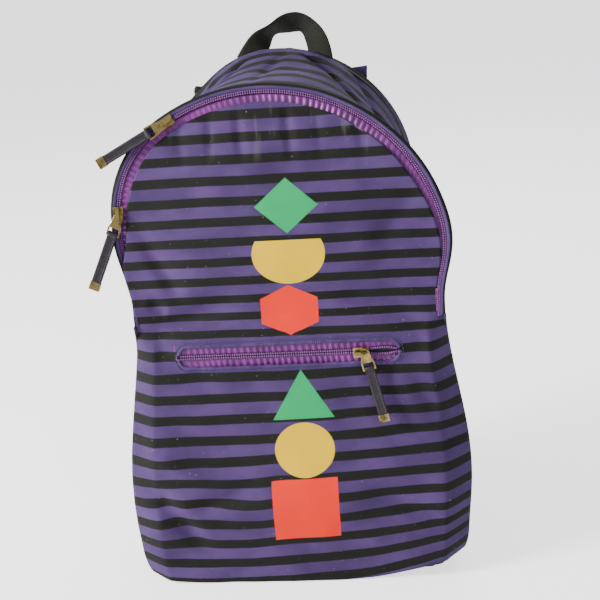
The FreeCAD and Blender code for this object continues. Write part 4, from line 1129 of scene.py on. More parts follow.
# %% Base
def base_panel():
    """A flat sheet between the four wall feet, its edge raised by the walls' own settling."""
    rows, columns = 40, 70
    u = np.linspace(-1, 1, columns)[None]
    v = np.linspace(0, 1, rows)[:, None]
    left_x = LEFT + (BACK_X - BACK_HALF - LEFT) * v
    right_x = RIGHT + (BACK_X + BACK_HALF - RIGHT) * v
    x = (left_x + right_x) / 2 + u * (right_x - left_x) / 2
    y = PLANE_Y + DEPTH * v + 0 * u
    edge = np.maximum(np.abs(u), np.abs(2 * v - 1)) + 0 * x
    z = 0.6 * MM + 0.8 * MM * edge**10
    grid = np.stack([x, y, z], -1)
    moved = settle(grid)
    keep = smooth(edge, 0.72, 1.0)[..., None]
    grid = grid + (moved - grid) * keep
    grid[..., 2] = np.maximum(grid[..., 2], 0.4 * MM)
    flat = np.stack([y, x], -1)
    cloths = [SIDE_CANVAS, LINING]
    made = piece("base_canvas", grid, grid_faces(rows, columns), cloths, "bag", flat)
    if normals_of(grid)[20, 30, 2] > 0:
        made.data.flip_normals()
    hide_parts("base_panel")
    thicken(made, 0.4 * MM, inside=1)
    return made


base_panel()


# %% [markdown]
# A coil zip is two nylon coils sewn to two tapes.  The coils are a row of small loops, each only a
# few faces; seen from a hand's width away they read as fine ribs.  The satin tape between the coil
# and the cloth is puckered by its stitching, so its profile swells and shrinks along the way.

# %% Main zip
INNER_CHAIN, OUTER_CHAIN = 7.9 * MM, 6.2 * MM  # how far in from the rim the two coils run
COIL_WIDTH, COIL_PITCH, COIL_HEIGHT = 1.75 * MM, 1.9 * MM, 1.5 * MM


def dome_line(inset, off):
    """The dome's outline at an inset, as settled points in space, from right foot to left foot."""
    flat = resampled(dome(inset), 640)
    return settle(on_plane(flat[:, 0], flat[:, 1], off - tucked(flat[:, 0], flat[:, 1])))


def tape(name, path, normal, width, thick, pucker, material, body, seed):
    """A satin band: a rounded bar whose top rises and falls by pucker in uneven waves."""
    count = len(path)
    run = run_along(path)
    u = np.linspace(-0.5, 0.5, 9)
    bulge = np.cos(np.pi * u * 0.98) ** 0.5
    drift = 1.3 * np.sin(run / (17 * MM) + seed) + 0.8 * np.sin(run / (7.3 * MM) + 2 * seed)
    turns = 2 * math.pi * (run[:, None] + 1.1 * MM * u[None]) / (5.2 * MM) + drift[:, None]
    strength = 0.65 + 0.35 * np.sin(run / (41 * MM) + 3 * seed)
    top = thick + pucker * bulge[None] * (0.5 + 0.5 * np.sin(turns)) * strength[:, None]
    profile = np.zeros((count, 18, 2))
    width = np.broadcast_to(np.asarray(width, float), (count,))[:, None]
    profile[:, :9, 0] = u * width
    profile[:, :9, 1] = top
    profile[:, 9:, 0] = u[::-1] * width
    return solid_sweep(name, path, normal, profile, material, body)


def coil(name, path, normal, material, body, width=COIL_WIDTH):
    """Loops of nylon along a path: small rounded bars lying across it."""
    spots = even(path, COIL_PITCH)
    points, faces = scatter(spots, normal, *bead(width, COIL_PITCH * 0.78, COIL_HEIGHT))
    return piece(name, points, faces, material, body, merge=False)


def tape_band():
    """The visible band between the coil and the flap's edge: its middle line and its width."""
    near, far = resampled(dome(8.8 * MM), 900), resampled(flap_edge(1.6 * MM), 900)
    middle = (near + far) / 2
    width = np.linalg.norm(far - near, axis=1)
    sunk = 1.5 * MM + tucked(middle[:, 0], middle[:, 1])
    return settle(on_plane(middle[:, 0], middle[:, 1], -sunk)), width


band_path, band_width = tape_band()
inner_satin = (band_width, 0.8 * MM, 1.2 * MM, ZIP_TAPE)
inner_tape = tape("main_zip_inner_satin", band_path, OUTWARD, *inner_satin, None, 1.0)
inner_teeth = coil("main_zip_inner_teeth", dome_line(INNER_CHAIN, 0.1 * MM), OUTWARD, ZIP_COIL, None)
outer_teeth = coil("main_zip_outer_teeth", dome_line(OUTER_CHAIN, 0.1 * MM), OUTWARD, ZIP_COIL, "bag")
outer_path = dome_line(4.6 * MM, -1.0 * MM)
outer_satin = (5.6 * MM, 0.8 * MM, 0.2 * MM, OUTER_TAPE)
outer_tape = tape("main_zip_outer_satin", outer_path, OUTWARD, *outer_satin, "bag", 2.0)
for made, node in ((inner_tape, "main_zip_inner_tape"), (inner_teeth, "main_zip_inner_coil")):
    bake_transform(made)
    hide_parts(node)
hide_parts("main_zip_outer_coil")
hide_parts("main_zip_outer_tape")
print("main zip:", len(inner_teeth.data.vertices) // 24, "teeth a side")

# %% [markdown]
# The pocket zip is the same thing, straight.  The cloth round its slot is turned under, and the edge
# shows as a soft welt with a row of stitches outside it.  Right of the slider the pocket stands a
# little open, so a dark gap shows between the two tapes.

# %% Pocket zip
SLIDER_X = JOINTS["pocket_link_swing"]["pos_m"][0]


def front_face(x, h, off=0.0):
    """Settled points on the front cloth, raised off it."""
    x, h = np.broadcast_arrays(np.asarray(x, float), np.asarray(h, float))
    p = settle(front_point(x, h))
    p[..., 1] -= off
    return p


def pocket_line(distance, off, start=SLOT_LEFT, end=SLOT_RIGHT, count=180):
    """A line along the pocket zip, distance above its middle, opening a little right of the slider."""
    x = np.linspace(start, end, count)
    gap = 1.5 * MM * smooth(x, SLIDER_X - 4 * MM, SLIDER_X + 14 * MM) * (1 - smooth(x, end - 12 * MM, end))
    z = POCKET_Z + distance + np.sign(distance) * gap
    bow = 1.2 * MM * np.sin((x - SLOT_LEFT) / (SLOT_RIGHT - SLOT_LEFT) * 3.3 * math.pi)
    plane = np.full(count, PLANE_Y) - off - 0.25 * bow
    return np.stack([x, plane, z + 0.15 * bow], 1)


FORWARD = np.array([0.0, -1.0, 0.0])
POCKET_NODES = (("upper", 1), ("lower", -1))
for word, side in POCKET_NODES:
    path = pocket_line(side * 6.4 * MM, -2.2 * MM, count=260)[:: side]
    satin = (9.4 * MM, 0.7 * MM, 1.5 * MM, ZIP_TAPE)
    band = tape(f"pocket_{word}_satin", path, FORWARD, *satin, "bag", 3.0 + side)
    line = pocket_line(side * 1.15 * MM, -0.9 * MM, SLOT_LEFT + 2 * MM, SLOT_RIGHT - 2 * MM)
    teeth = coil(f"pocket_{word}_teeth", line, FORWARD, ZIP_COIL, "bag", width=2.0 * MM)
    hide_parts(f"pocket_zip_{word}_tape")
    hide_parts(f"pocket_zip_{word}_coil")


def slot_outline(out, count=240):
    """The slot's stadium, out metres outside its edge: two straight runs and two half circles."""
    r = SLOT_HALF + out
    a = np.linspace(-math.pi / 2, math.pi / 2, 40)
    right = np.stack([SLOT_RIGHT - SLOT_HALF + r * np.cos(a), POCKET_Z + r * np.sin(a)], 1)
    left = np.stack([SLOT_LEFT + SLOT_HALF - r * np.cos(a), POCKET_Z - r * np.sin(a)], 1)
    return resampled(np.concatenate([right, left, right[:1]]), count)


def welt():
    """The turned edge: a low, rounded lip that follows the slot's outline."""
    flat = slot_outline(0.2 * MM)
    path = front_face(flat[:, 0], flat[:, 1], -0.3 * MM)
    ring = np.linspace(0, 2 * math.pi, 9)[:-1]
    run = np.linspace(0, 2 * math.pi, len(path))
    swell = 1.0 + 0.18 * np.sin(run * 23) + 0.12 * np.sin(run * 51 + 1)
    lip = np.stack([1.5 * MM * np.cos(ring), 1.0 * MM * np.sin(ring)], -1)
    profile = lip[None] * swell[:, None, None]
    grid = sweep(path, FORWARD, profile)
    rows, columns = grid.shape[:2]
    grid[-1] = grid[0]
    level = band_height(flat[:, 0], flat[:, 1] + np.sign(flat[:, 1] - POCKET_Z) * 3 * MM)
    cloth = np.stack(np.broadcast_arrays(flat[:, :1], level[:, None] + 0 * ring), -1)
    faces = grid_faces(rows, columns, wrap=True)
    return piece("pocket_welt", grid, faces, PLAIN_CANVAS, "bag", cloth, closed=True)


welt()


seam = slot_outline(3.2 * MM)
stitches("pocket_stitches", front_face(seam[:, 0], seam[:, 1], 0.15 * MM), FORWARD, THREAD, "bag")

# %% [markdown]
# Behind the slot hangs the pocket's bag, a flat pouch of lining.  It is one closed, soft form: a
# sheet doubled on itself, held at the top, a little fuller at the bottom.

# %% Pocket pouch
def pouch():
    """Front and back faces of a flat sack: half thickness is a dome over its outline, plus slump."""
    low, high = box("pocket_pouch")
    rows, columns = 40, 60
    u = np.linspace(-1, 1, columns)[None]
    v = np.linspace(0, 1, rows)[:, None]
    x = (low[0] + high[0]) / 2 + u * (high[0] - low[0]) / 2 * 0.985 + 0 * v
    z = low[2] + v * (high[2] - low[2]) + 0 * u
    middle = (low[1] + high[1]) / 2
    thick = (high[1] - low[1]) / 2
    beside = np.clip(1 - np.abs(u) ** 8, 0, 1) ** 0.5
    upright = np.clip(1 - np.abs(2 * v - 1) ** 10, 0, 1) ** 0.5
    fat = thick * beside * upright
    wave = 1.2 * MM * ripple(x * 1000, z * 1000, 60, 7.0) * (1 - smooth(v, 0.8, 1.0))
    inwards = 1.0 * MM + 5.0 * MM * (1 - smooth(v, 0.8, 0.95)) + 0 * u
    near = np.stack([x, middle - fat + wave + inwards, z], -1)
    far = np.stack([x, middle + fat + wave + inwards, z], -1)
    points = np.concatenate([near.reshape(-1, 3), far[:, ::-1].reshape(-1, 3)])
    faces = grid_faces(rows, columns)
    edge_ring = np.concatenate([faces, faces + rows * columns])
    uv = np.concatenate([np.stack([x, z], -1).reshape(-1, 2)] * 2)
    made = piece("pocket_lining_bag", points, edge_ring, LINING, "bag", uv, closed=True)
    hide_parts("pocket_pouch")
    return low, high


print("pouch box", pouch())

# %% [markdown]
# The sliders, links and tab ends are cast metal.  Their solids already have the right form, so they
# keep it: their loose triangles are joined, their edges rounded, and they get a dull brass.  The
# leather tabs are treated in the same way, with a row of stitches along both edges.

# %% Pulls
def finish_node(node, material, bevel, segments=2):
    """Joins a solid's loose triangles, rounds its edges and gives it a material."""
    solid = NODES[node]
    weld = solid.modifiers.new("join", "WELD")
    weld.merge_threshold = 0.01 * MM
    edge = solid.modifiers.new("edges", "BEVEL")
    edge.width = bevel
    edge.segments = segments
    edge.limit_method = "ANGLE"
    edge.angle_limit = math.radians(35)
    edge.harden_normals = False
    solid.data.materials.clear()
    solid.data.materials.append(material)


def spots_of(obj):
    """An object's points as an array."""
    spots = np.empty(len(obj.data.vertices) * 3, dtype=np.float32)
    obj.data.vertices.foreach_get("co", spots)
    return spots.reshape(-1, 3).astype(float)


def tab_stitches(zip_name, outward):
    """Stitches on the leather: two rows down the tab, joined across its foot, on its outer face."""
    joint = JOINTS[f"{zip_name}_tab_lift"]
    origin, axis = np.array(joint["pos_m"]), np.array(joint["axis"])
    down = np.cross(outward, axis)
    spots = spots_of(NODES[f"{zip_name}_pull_tab"]) - origin
    down = down if (spots @ down).mean() > 0 else -down
    top, reach, half = (spots @ outward).max(), (spots @ down).max(), (spots @ axis).max()
    inset = half - 1.1 * MM
    corners = [(-inset, 5 * MM), (-inset, reach - 3 * MM), (inset, reach - 3 * MM), (inset, 5 * MM)]
    flat = even(np.array(corners), 0.9 * MM)
    path = origin + flat[:, :1] * axis + flat[:, 1:] * down + (top + 0.02 * MM) * outward
    name = f"{zip_name}_tab_stitches"
    return stitches(name, path, outward, LEATHER_THREAD, f"{zip_name}_tab", 1.6 * MM, 2.3 * MM, 0.45 * MM)


LEATHER_THREAD = ribbed("tab thread", colour(112, 98, 104), colour(86, 76, 82), 0.5 * MM, 0.6)
for zip_name, outward in (("main_upper", OUTWARD), ("main_lower", OUTWARD), ("pocket", FORWARD)):
    finish_node(f"{zip_name}_slider", BRASS, 0.35 * MM, 3)
    finish_node(f"{zip_name}_pull_link", BRASS, 0.2 * MM)
    finish_node(f"{zip_name}_pull_tip", BRASS, 0.3 * MM)
    finish_node(f"{zip_name}_pull_tab", LEATHER, 0.7 * MM, 3)
    tab_stitches(zip_name, outward)
print("three pulls finished")


# %% [markdown]
# The handle is a length of webbing sewn into the back seam.  It stands up in a soft loop that leans to
# one side.  Its width lies in the loop's own plane and turns a little towards the back on the way.

# %% Grab handle
def soft_path(corners, count, passes=3, window=0.16):
    """A smooth path near a few corners: an even polyline, averaged along itself, its ends kept."""
    line = resampled(np.array(corners, float), 400)
    reach = int(400 * window / 2)
    for _ in range(passes):
        before = 2 * line[0] - line[1 : reach + 1][::-1]
        after = 2 * line[-1] - line[-reach - 1 : -1][::-1]
        padded = np.concatenate([before, line, after])
        total = np.cumsum(np.concatenate([np.zeros((1, 3)), padded]), axis=0)
        line = (total[2 * reach + 1 :] - total[: -2 * reach - 1]) / (2 * reach + 1)
    return resampled(line, count)


def grab_handle():
    """A rounded ribbon along a soft loop that leans to one side, with a slight twist."""
    corners = (
        (-37, 62, 436),
        (-27, 61, 451),
        (-17, 62, 465),
        (0, 63, 468),
        (13, 63, 473),
        (24, 62, 459),
        (28, 61, 446),
        (28, 61, 426),
    )
    path = soft_path(np.array(corners) * MM, 140)
    s = np.linspace(0, 1, len(path))
    tangent = unit(np.gradient(path, axis=0))
    plane_normal = unit(np.stack([tangent[:, 2], 0 * s, -tangent[:, 0]], 1))
    turn = math.radians(34) * np.sin(math.pi * s) ** 0.8 + math.radians(30) * hump(s, 0.32, 0.1)
    width_way = np.cos(turn)[:, None] * plane_normal + np.sin(turn)[:, None] * BACKWARDS
    normal = np.cross(tangent, width_way)
    width = 22 * MM - 3.0 * MM * hump(s, 0.62, 0.07)
    profile = np.stack([ribbon_profile(w, 1.9 * MM) for w in width])
    made = solid_sweep("handle_webbing", path, normal, profile, HANDLE_WEB, "grab_handle")
    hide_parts("grab_handle")
    return path


BACKWARDS = np.array([0.0, 1.0, 0.0])


def ribbon_profile(width, thick):
    """The outline of a webbing ribbon: flat faces with soft, thinner edges."""
    u = np.linspace(-0.5, 0.5, 15)
    half = thick / 2 * (1 - (2 * np.abs(u)) ** 10 * 0.75)
    top = np.stack([u * width, half], 1)
    return np.concatenate([top, np.stack([u[::-1] * width, -half[::-1]], 1)])


handle_path = grab_handle()
print("handle top", round(float(handle_path[:, 2].max()), 4))

# %% [markdown]
# The back is a padded panel: black air mesh over foam, on an inner lining, with its edge bound.  The
# pad is blown up by a short cloth simulation, so that it swells between its edge and its sewn
# channels.  The simulation starts from the solid's own mesh, made even by a voxel remesh.

# %% Inflating a pad
def inflate(name, source, voxel, cap, pressure=4.0, frames=20):
    """A copy of a mesh, remeshed evenly, blown up by air pressure, each point moving at most cap."""
    mesh = source.data.copy()
    bm = bmesh.new()
    bm.from_mesh(mesh)
    bmesh.ops.remove_doubles(bm, verts=bm.verts, dist=0.01 * MM)
    bm.to_mesh(mesh)
    bm.free()
    pad = bpy.data.objects.new(name, mesh)
    bpy.context.scene.collection.objects.link(pad)
    even_out = pad.modifiers.new("even", "REMESH")
    even_out.mode = "VOXEL"
    even_out.voxel_size = voxel
    bake(pad)
    start = spots_of(pad)
    soft = pad.modifiers.new("air", "CLOTH")
    soft.settings.use_pressure = True
    soft.settings.uniform_pressure_force = pressure
    soft.settings.effector_weights.gravity = 0
    soft.settings.quality = 4
    soft.settings.mass = 0.3
    for frame_number in range(1, frames + 1):
        bpy.context.scene.frame_set(frame_number)
    bake(pad)
    bpy.context.scene.frame_set(1)
    moved = spots_of(pad) - start
    length = np.linalg.norm(moved, axis=1, keepdims=True)
    put_spots(pad, start + moved * np.minimum(1.0, cap / np.maximum(length, 1e-9)))
    print(name, len(start), "points, moved up to", round(float(length.max()) / MM, 1), "mm before the cap")
    return pad


def bake(obj):
    """Applies every modifier of an object to its mesh."""
    bpy.context.view_layer.update()
    graph = bpy.context.evaluated_depsgraph_get()
    mesh = bpy.data.meshes.new_from_object(obj.evaluated_get(graph))
    obj.modifiers.clear()
    obj.data = mesh


def put_spots(obj, spots):
    """Puts an object's points where an array says."""
    obj.data.vertices.foreach_set("co", spots.astype(np.float32).ravel())
    obj.data.update()


# %% [markdown]
# The back pad is drawn in along its sewn channels and round its edge.  Behind it lies the inner
# lining, and inside the seam a bound tape covers the raw edges.

# %% Back panel
def back_border(x, z):
    """0 in the middle of the back and 1 on its seam, by whichever edge is nearest."""
    flat = np.abs(x - BACK_X) / BACK_HALF
    round_top = np.hypot(x - BACK_X, np.maximum(z - BACK_RISE, 0)) / BACK_HALF
    foot = 1 - z / BACK_HALF
    return np.maximum(np.maximum(np.where(z > BACK_RISE, round_top, flat), 0), foot)


def channel_groove(x, z):
    """The channels: two upright lines and three that rise a little towards the sides."""
    away = np.abs(x - BACK_X)
    groove = hump(away, 34 * MM, 4.5 * MM)
    for level in (120 * MM, 215 * MM, 310 * MM):
        groove = np.maximum(groove, hump(z - 0.12 * away, level, 4.5 * MM))
    return groove * (1 - smooth(back_border(x, z), 0.86, 0.94))


def back_pad():
    """The foam panel in its mesh cover, inflated, then drawn in along its channels and its edge."""
    pad = inflate("back_air_mesh", NODES["back_foam_pad"], 3.0 * MM, 2.5 * MM, 2.0, 10)
    p = spots_of(pad)
    border = back_border(p[:, 0], p[:, 2])
    outer = smooth(p[:, 1], 60 * MM, 64 * MM)
    grow = (BACK_HALF - 0.5 * MM) / (BACK_HALF - 3 * MM)
    p[:, 0] = BACK_X + (p[:, 0] - BACK_X) * grow
    rise = 4.5 * MM * (1 - smooth(border, 0.70, 0.99)) - 0.8 * MM
    p[:, 1] += outer * (rise - 4.2 * MM * channel_groove(p[:, 0], p[:, 2]))
    p[:, 1] = np.maximum(p[:, 1], BACK_Y + 0.6 * MM)
    put_spots(pad, slump(p))
    pad.data.shade_smooth()
    pad.data.materials.clear()
    pad.data.materials.append(AIR_MESH)
    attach(pad, "bag")
    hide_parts("back_outer_mesh", "back_foam_pad")


back_pad()


def back_lining():
    """The inside face of the back: an arch of cloth, rows from the foot up, with slow waves."""
    rows, columns = 90, 60
    v = np.linspace(0, 1, rows) ** 0.85
    z = 0.8 * MM + (BACK_TOP - 1.6 * MM) * v
    lift = np.clip((z - BACK_RISE) / BACK_HALF, 0, 0.9999)
    half = (BACK_HALF - 1.5 * MM) * np.sqrt(1 - lift**2)
    u = np.linspace(-1, 1, columns)
    x = BACK_X + half[:, None] * u[None]
    depth = BACK_Y + 0.7 * MM - 0.9 * MM * np.sin(np.pi * v)[:, None] * (1 - u[None] ** 4)
    depth = depth + 0.5 * MM * ripple(x * 1000, z[:, None] * 1000, 90, 8.0) * (1 - u[None] ** 4)
    grid = np.stack([x, depth, z[:, None] + 0 * x], -1)
    flat = np.stack([x, z[:, None] + 0 * x], -1)
    made = piece("back_lining", slump(grid), grid_faces(rows, columns), LINING, "bag", flat)
    thicken(made, 0.8 * MM)
    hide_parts("back_inner_fabric")


back_lining()
seam_line = slump(back_arch(3.6 * MM, BACK_Y - 4.6 * MM, 2.5 * MM, 2.5 * MM))
inward = np.array([BACK_X, 0.0, BACK_RISE]) - seam_line
inward[:, 1] = 0
inward[seam_line[:, 2] < BACK_RISE, 2] = 0
bar = rounded(7.4 * MM, 2.2 * MM, 0.9 * MM)
seam_tape = solid_sweep("back_seam_tape", seam_line, unit(inward), bar, BINDING, "bag")
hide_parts("back_seam_binding")
print("back panel and its seam tape made")

# %% [markdown]
# Each shoulder strap is foam in a cover: striped canvas outside, air mesh against the shoulder, with
# a bound edge.  Its middle line leaves the top seam, turns over in a small arc and then bows away in
# a large one.  Both arcs are measured from the strap's own hinge, so the strap is placed by it.

# %% Shoulder straps
TURN_R, BOW_R = 16 * MM, 560 * MM
BOW_ABOVE, BOW_BELOW = math.radians(13), math.radians(8)
STRAP_WIDTH = 52 * MM
WEB_WIDTH, WEB_THICK = 25 * MM, 1.4 * MM


def strap_axes(side_name):
    """A strap's root point, and its across and up directions, from its hinge."""
    joint = JOINTS[f"{side_name}_strap_swing"]
    across_way = np.array(joint["axis"])
    up_way = np.array([-across_way[2], 0.0, across_way[0]])
    root = np.array(joint["pos_m"]) + 5.6 * MM * up_way + 5.1 * MM * BACKWARDS
    return root, across_way, up_way


def strap_middle(side_name, count=90):
    """The middle line and its outward direction: arc of TURN_R, then arc of BOW_R, to its end."""
    root, _, up_way = strap_axes(side_name)
    first_arc = np.linspace(math.radians(86), BOW_ABOVE, 24)[:-1]
    second_arc = np.linspace(BOW_ABOVE, -BOW_BELOW, count - 23)
    reach = BOW_R - TURN_R
    bow_y = BOW_R * np.cos(second_arc) - reach * math.cos(BOW_ABOVE)
    bow_z = BOW_R * np.sin(second_arc) - reach * math.sin(BOW_ABOVE)
    y = np.concatenate([TURN_R * np.cos(first_arc), bow_y])
    z = np.concatenate([TURN_R * np.sin(first_arc), bow_z])
    angle = np.concatenate([first_arc, second_arc])
    path = root + y[:, None] * BACKWARDS + (z - TURN_R)[:, None] * up_way
    outward = np.cos(angle)[:, None] * BACKWARDS + np.sin(angle)[:, None] * up_way
    return path, outward


def strap_end(side_name):
    """The frame of the strap's lower end: its origin, and its back and up directions."""
    path, outward = strap_middle(side_name)
    _, _, up_way = strap_axes(side_name)
    up = math.cos(BOW_BELOW) * up_way + math.sin(BOW_BELOW) * BACKWARDS
    return path[-1], outward[-1], up


def strap_pad(side_name):
    """The foam's solid, inflated; faces that look at the back get mesh and the rest get canvas."""
    body = f"{side_name}_strap"
    pad = inflate(f"{side_name}_strap_pad", NODES[f"{side_name}_strap_foam"], 2.6 * MM, 2.2 * MM, 4.0, 16)
    p = spots_of(pad)
    path, outward = strap_middle(side_name)
    _, across_way, _ = strap_axes(side_name)
    nearest = np.argmin(((p[:, None] - path[None]) ** 2).sum(-1), axis=1)
    local = p - path[nearest]
    wide = (local @ across_way) / (STRAP_WIDTH / 2)
    off = (local * outward[nearest]).sum(1)
    squeeze = 0.55 + 0.55 * np.clip(1 - np.abs(wide) ** 2.6, 0, 1)
    p += outward[nearest] * (off * (squeeze - 1))[:, None]
    run = np.arange(len(path))[nearest] / len(path)
    dimple = 0.9 * MM * hump(np.abs(wide), 0.78, 0.05)
    p -= outward[nearest] * (np.sign(off) * dimple)[:, None]
    p += outward[nearest] * (0.35 * MM * ripple(run * 240, wide * 26, 44, 2.0))[:, None]
    put_spots(pad, p)
    mesh = pad.data
    mesh.materials.clear()
    mesh.materials.append(STRAP_CANVAS)
    mesh.materials.append(AIR_MESH)
    normals = np.empty(len(mesh.polygons) * 3, dtype=np.float32)
    centres = np.empty_like(normals)
    mesh.polygons.foreach_get("normal", normals)
    mesh.polygons.foreach_get("center", centres)
    centres = centres.reshape(-1, 3)
    near = np.argmin(((centres[:, None] - path[None]) ** 2).sum(-1), axis=1)
    inner = ((centres - path[near]) * outward[near]).sum(1) < 0
    mesh.polygons.foreach_set("material_index", inner.astype(np.int32))
    mesh.shade_smooth()
    finer = pad.modifiers.new("finer", "SUBSURF")
    finer.levels = finer.render_levels = 1
    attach(pad, body)
    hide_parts(f"{side_name}_strap_cover", f"{side_name}_strap_foam")


def strap_edge(side_name):
    """Binding down one edge, across the lower end and up the other, with a row of stitches inside."""
    path, outward = strap_middle(side_name)
    _, across_way, _ = strap_axes(side_name)
    half = STRAP_WIDTH / 2 - 0.6 * MM
    line, facing = path[4:], outward[4:]
    ends = line[-1] + np.linspace(-1, 1, 24)[1:-1, None] * half * across_way
    loop = np.concatenate([line - half * across_way, ends, (line + half * across_way)[::-1]])
    normal = np.concatenate([facing, np.repeat(facing[-1:], len(ends), 0), facing[::-1]])
    loop_even = even(loop, 2.5 * MM)
    normal_even = carried(loop, normal, len(loop_even))
    body = f"{side_name}_strap"
    bar = rounded(3.4 * MM, 6.4 * MM, 1.5 * MM)
    solid_sweep(f"{side_name}_strap_binding", loop_even, normal_even, bar, BINDING, body)
    for word, face in (("outer", 1), ("inner", -1)):
        for number, edge in ((1, -1), (2, 1)):
            row = line[:-2] + edge * (half - 4.6 * MM) * across_way + face * facing[:-2] * 4.6 * MM
            name = f"{side_name}_strap_stitches_{word}_{number}"
            stitches(name, row, face * facing[:-2], DARK_THREAD, body)


def ribbon(name, path, across_way, body):
    """Flat black webbing along a path, its width always across_way."""
    path = even(path, 1.6 * MM)
    normal = np.cross(unit(np.gradient(path, axis=0)), across_way)
    return solid_sweep(name, path, normal, ribbon_profile(WEB_WIDTH, WEB_THICK), BLACK_WEB, body)


def lock_frame_path(side_name, flat):
    """Points of (back, up) in the strap end's frame, as points in space."""
    origin, back, up = strap_end(side_name)
    return origin + flat[:, :1] * back + flat[:, 1:] * up


def arc(centre, radius, start, end, count=16):
    """Points of a circle's arc, angles in degrees."""
    a = np.radians(np.linspace(start, end, count))
    return np.stack([centre[0] + radius * np.cos(a), centre[1] + radius * np.sin(a)], 1)


def strap_webbing(side_name):
    """The loop that holds the ladder lock, and the webbing that runs through it down to the tab."""
    _, across_way, _ = strap_axes(side_name)
    r, drop = 3.4 * MM, -14 * MM
    hairpin = np.concatenate([[[-r, 3 * MM]], arc((0, drop), r, 180, 360), [[r, 3 * MM]]])
    body = f"{side_name}_strap"
    loop = ribbon(f"{side_name}_loop_webbing", lock_frame_path(side_name, hairpin), across_way, body)
    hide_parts(f"{side_name}_lock_loop")
    bar, wrap, back_turn = -25.75 * MM, 4.6 * MM, 2.9 * MM
    tail = bar - wrap - back_turn
    long_run = np.array([[-wrap, -146 * MM], [-wrap, -110 * MM], [-wrap, -60 * MM]])
    long_run[:, 0] -= np.array([0.0, 2.4, 1.4]) * MM
    tail_run = np.array([[-back_turn, tail - 30 * MM], [-back_turn, -100 * MM], [-back_turn, -128 * MM]])
    tail_run[:, 0] += np.array([1.2, 3.0, 6.0]) * MM
    over_bar, back_again = arc((0, bar), wrap, 180, -90, 26), arc((0, tail), back_turn, 90, 180, 10)
    flat = np.concatenate([long_run, over_bar, back_again, tail_run])
    made = ribbon(f"{side_name}_strap_webbing", lock_frame_path(side_name, flat), across_way, None)
    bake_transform(made)
    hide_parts(f"{side_name}_lower_webbing")


# %% [markdown]
# Four small patches take the ends of the straps: one of canvas over each root at the top seam, and one
# of webbing at each lower corner.  A patch is a quad with a thin, turned edge and a row of stitches.

# %% Patches
def across_quad(corners, s, t):
    """Points of the quad between four corners: s runs across it and t up it, both from 0 to 1."""
    p00, p10, p11, p01 = (np.array(c) for c in corners)
    return p00 * (1 - s) * (1 - t) + p10 * s * (1 - t) + p11 * s * t + p01 * (1 - s) * t


def patch(name, corners, material, slot_name, node, seed, thick=2.6 * MM):
    """A sewn patch: a quad of cloth whose faces are crowned and whose edge is turned and thin."""
    rows, columns = 26, 26
    u = np.linspace(-1, 1, columns)[None]
    v = np.linspace(-1, 1, rows)[:, None]
    mid = across_quad(corners, (u + 1)[..., None] / 2, (v + 1)[..., None] / 2)
    reach = np.maximum(np.abs(u), np.abs(v))
    edge = np.clip(1 - reach**8, 0, 1) ** 0.5
    seam = 1 - 0.35 * hump(reach, 0.84, 0.05)
    half = thick / 2 * (0.25 + 0.75 * edge) * seam
    wave = 0.0003 * ripple(u * 25 + 0 * v, v * 25 + 0 * u, 30, seed)
    top = mid + (half + wave)[..., None] * BACKWARDS
    low = mid - half[..., None] * BACKWARDS
    points = np.concatenate([top.reshape(-1, 3), low[:, ::-1].reshape(-1, 3)])
    faces = grid_faces(rows, columns)
    index = np.arange(rows * columns).reshape(rows, columns)
    rim_a = np.concatenate([index[0], index[1:, -1], index[-1, -2::-1], index[-2:0:-1, 0]])
    row_a, col_a = rim_a // columns, rim_a % columns
    rim_b = rows * columns + row_a * columns + (columns - 1 - col_a)
    rim = np.stack([rim_a, np.roll(rim_a, -1), np.roll(rim_b, -1), rim_b], 1)
    all_faces = np.concatenate([faces, faces + rows * columns, rim])
    cloth = np.stack(np.broadcast_arrays(u * 25 * MM, v * 25 * MM), -1).reshape(-1, 2)
    cloth = np.concatenate([cloth, cloth])
    made = piece(name, points, all_faces, material, "bag", cloth, closed=True)
    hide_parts(node)
    seam_line = even(np.array([[0.1, 0.1], [0.9, 0.1], [0.9, 0.9], [0.1, 0.9], [0.1, 0.1]]), 0.025)
    row = across_quad(corners, seam_line[:, :1], seam_line[:, 1:]) + 0.42 * thick * BACKWARDS
    stitches(f"{name}_stitches", row, BACKWARDS, DARK_THREAD, "bag")


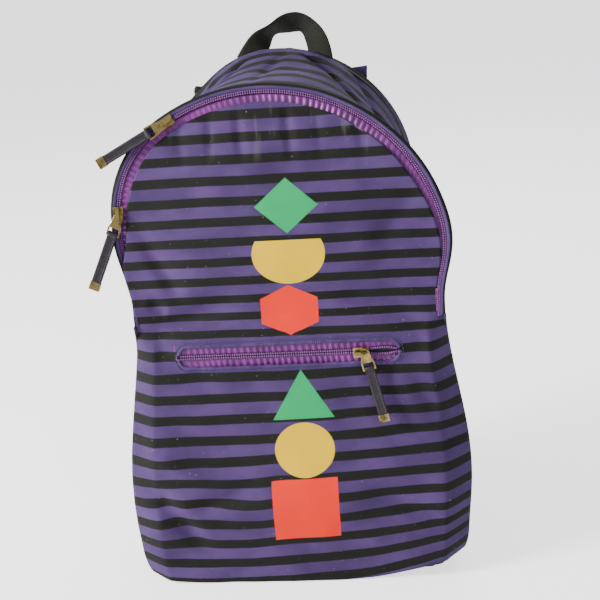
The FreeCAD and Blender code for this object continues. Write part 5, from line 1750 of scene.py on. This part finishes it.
for side_name, side in (("left", -1), ("right", 1)):
    strap_pad(side_name)
    strap_edge(side_name)
    strap_webbing(side_name)
    finish_node(f"{side_name}_ladder_lock", PLASTIC, 0.7 * MM, 3)
    low, high = box(f"{side_name}_corner_tab")
    edge_x, reach_x = (low[0], high[0]) if side < 0 else (high[0], low[0])
    mid_z, blunt = (low[2] + high[2]) / 2, 10 * MM
    face_y = (low[1] + high[1]) / 2 + 0.6 * MM
    flat = ((edge_x, low[2]), (reach_x, mid_z - blunt), (reach_x, mid_z + blunt), (edge_x, high[2]))
    corners = [(x, face_y, z) for x, z in flat]
    patch(f"{side_name}_corner_patch", corners, BLACK_WEB, "webbing", f"{side_name}_corner_tab", side)
    low, high = box(f"{side_name}_strap_root")
    root, across_way, up_way = strap_axes(side_name)
    middle = (low + high) / 2 + 1.8 * MM * BACKWARDS
    wide, tall = 25 * MM * across_way, 8.5 * MM * up_way
    above = (8 if side < 0 else 18) * MM * up_way
    wing = (0 if side < 0 else 7) * MM * across_way
    upper_right, upper_left = middle + wide + tall + wing + above, middle - wide + tall + 1.2 * above
    corners = [middle - wide - tall, middle + wide - tall, upper_right, upper_left]
    root_node = f"{side_name}_strap_root"
    patch(f"{side_name}_strap_patch", corners, STRAP_CANVAS, "striped_canvas", root_node, side + 3)
print("straps made")


# %% [markdown]
# A pale, plain floor and three soft lamps, as in a small studio: a broad key from the upper left, a
# weaker fill from the right and a strip over the back to pick out the handle and the rim.

# %% Floor and light
def make_floor():
    """A wide, pale floor with the faintest unevenness, lit up a little for the camera alone."""
    bpy.ops.mesh.primitive_grid_add(x_subdivisions=40, y_subdivisions=40, size=40.0)
    floor = bpy.context.object
    floor.name = "floor"
    material, tree, shader = make_material("pale floor", rough=0.9)
    spot = add(tree, "TexCoord").outputs["Object"]
    cloud = noise(tree, spot, 0.6, 3.0)
    pale = blend_colour(tree, cloud, colour(246, 246, 246), colour(252, 252, 252))
    tree.links.new(pale, shader.inputs["Base Color"])
    glow = calc(tree, "MULTIPLY", add(tree, "LightPath").outputs["Is Camera Ray"], 1.5)
    tree.links.new(glow, shader.inputs["Emission Strength"])
    shader.inputs["Emission Color"].default_value = (1.0, 1.0, 1.0, 1.0)
    floor.data.materials.append(material)


def lamp(name, place, aim, size, power, tint):
    """A soft square lamp at a place, turned to a point."""
    data = bpy.data.lights.new(name, "AREA")
    data.size, data.energy, data.color = size, power, tint
    made = bpy.data.objects.new(name, data)
    bpy.context.scene.collection.objects.link(made)
    made.location = place
    made.rotation_euler = (Vector(aim) - Vector(place)).to_track_quat("-Z", "Y").to_euler()


make_floor()
LAMPS = (
    ("key", (-1.9, -0.9, 1.2), (0, 0, 0.22), 0.65, 108.0, (1.0, 0.985, 0.96)),
    ("fill", (1.2, -1.9, 0.9), (0, 0, 0.2), 1.4, 6.0, (0.95, 0.97, 1.0)),
    ("rim", (0.3, 1.3, 1.6), (0, 0, 0.3), 1.2, 16.0, (1.0, 1.0, 1.0)),
)
for settings in LAMPS:
    lamp(*settings)
world = bpy.data.worlds.new("studio")
world.use_nodes = True
world.node_tree.nodes["Background"].inputs[0].default_value = (0.9, 0.92, 0.95, 1.0)
world.node_tree.nodes["Background"].inputs[1].default_value = 0.6
bpy.context.scene.world = world
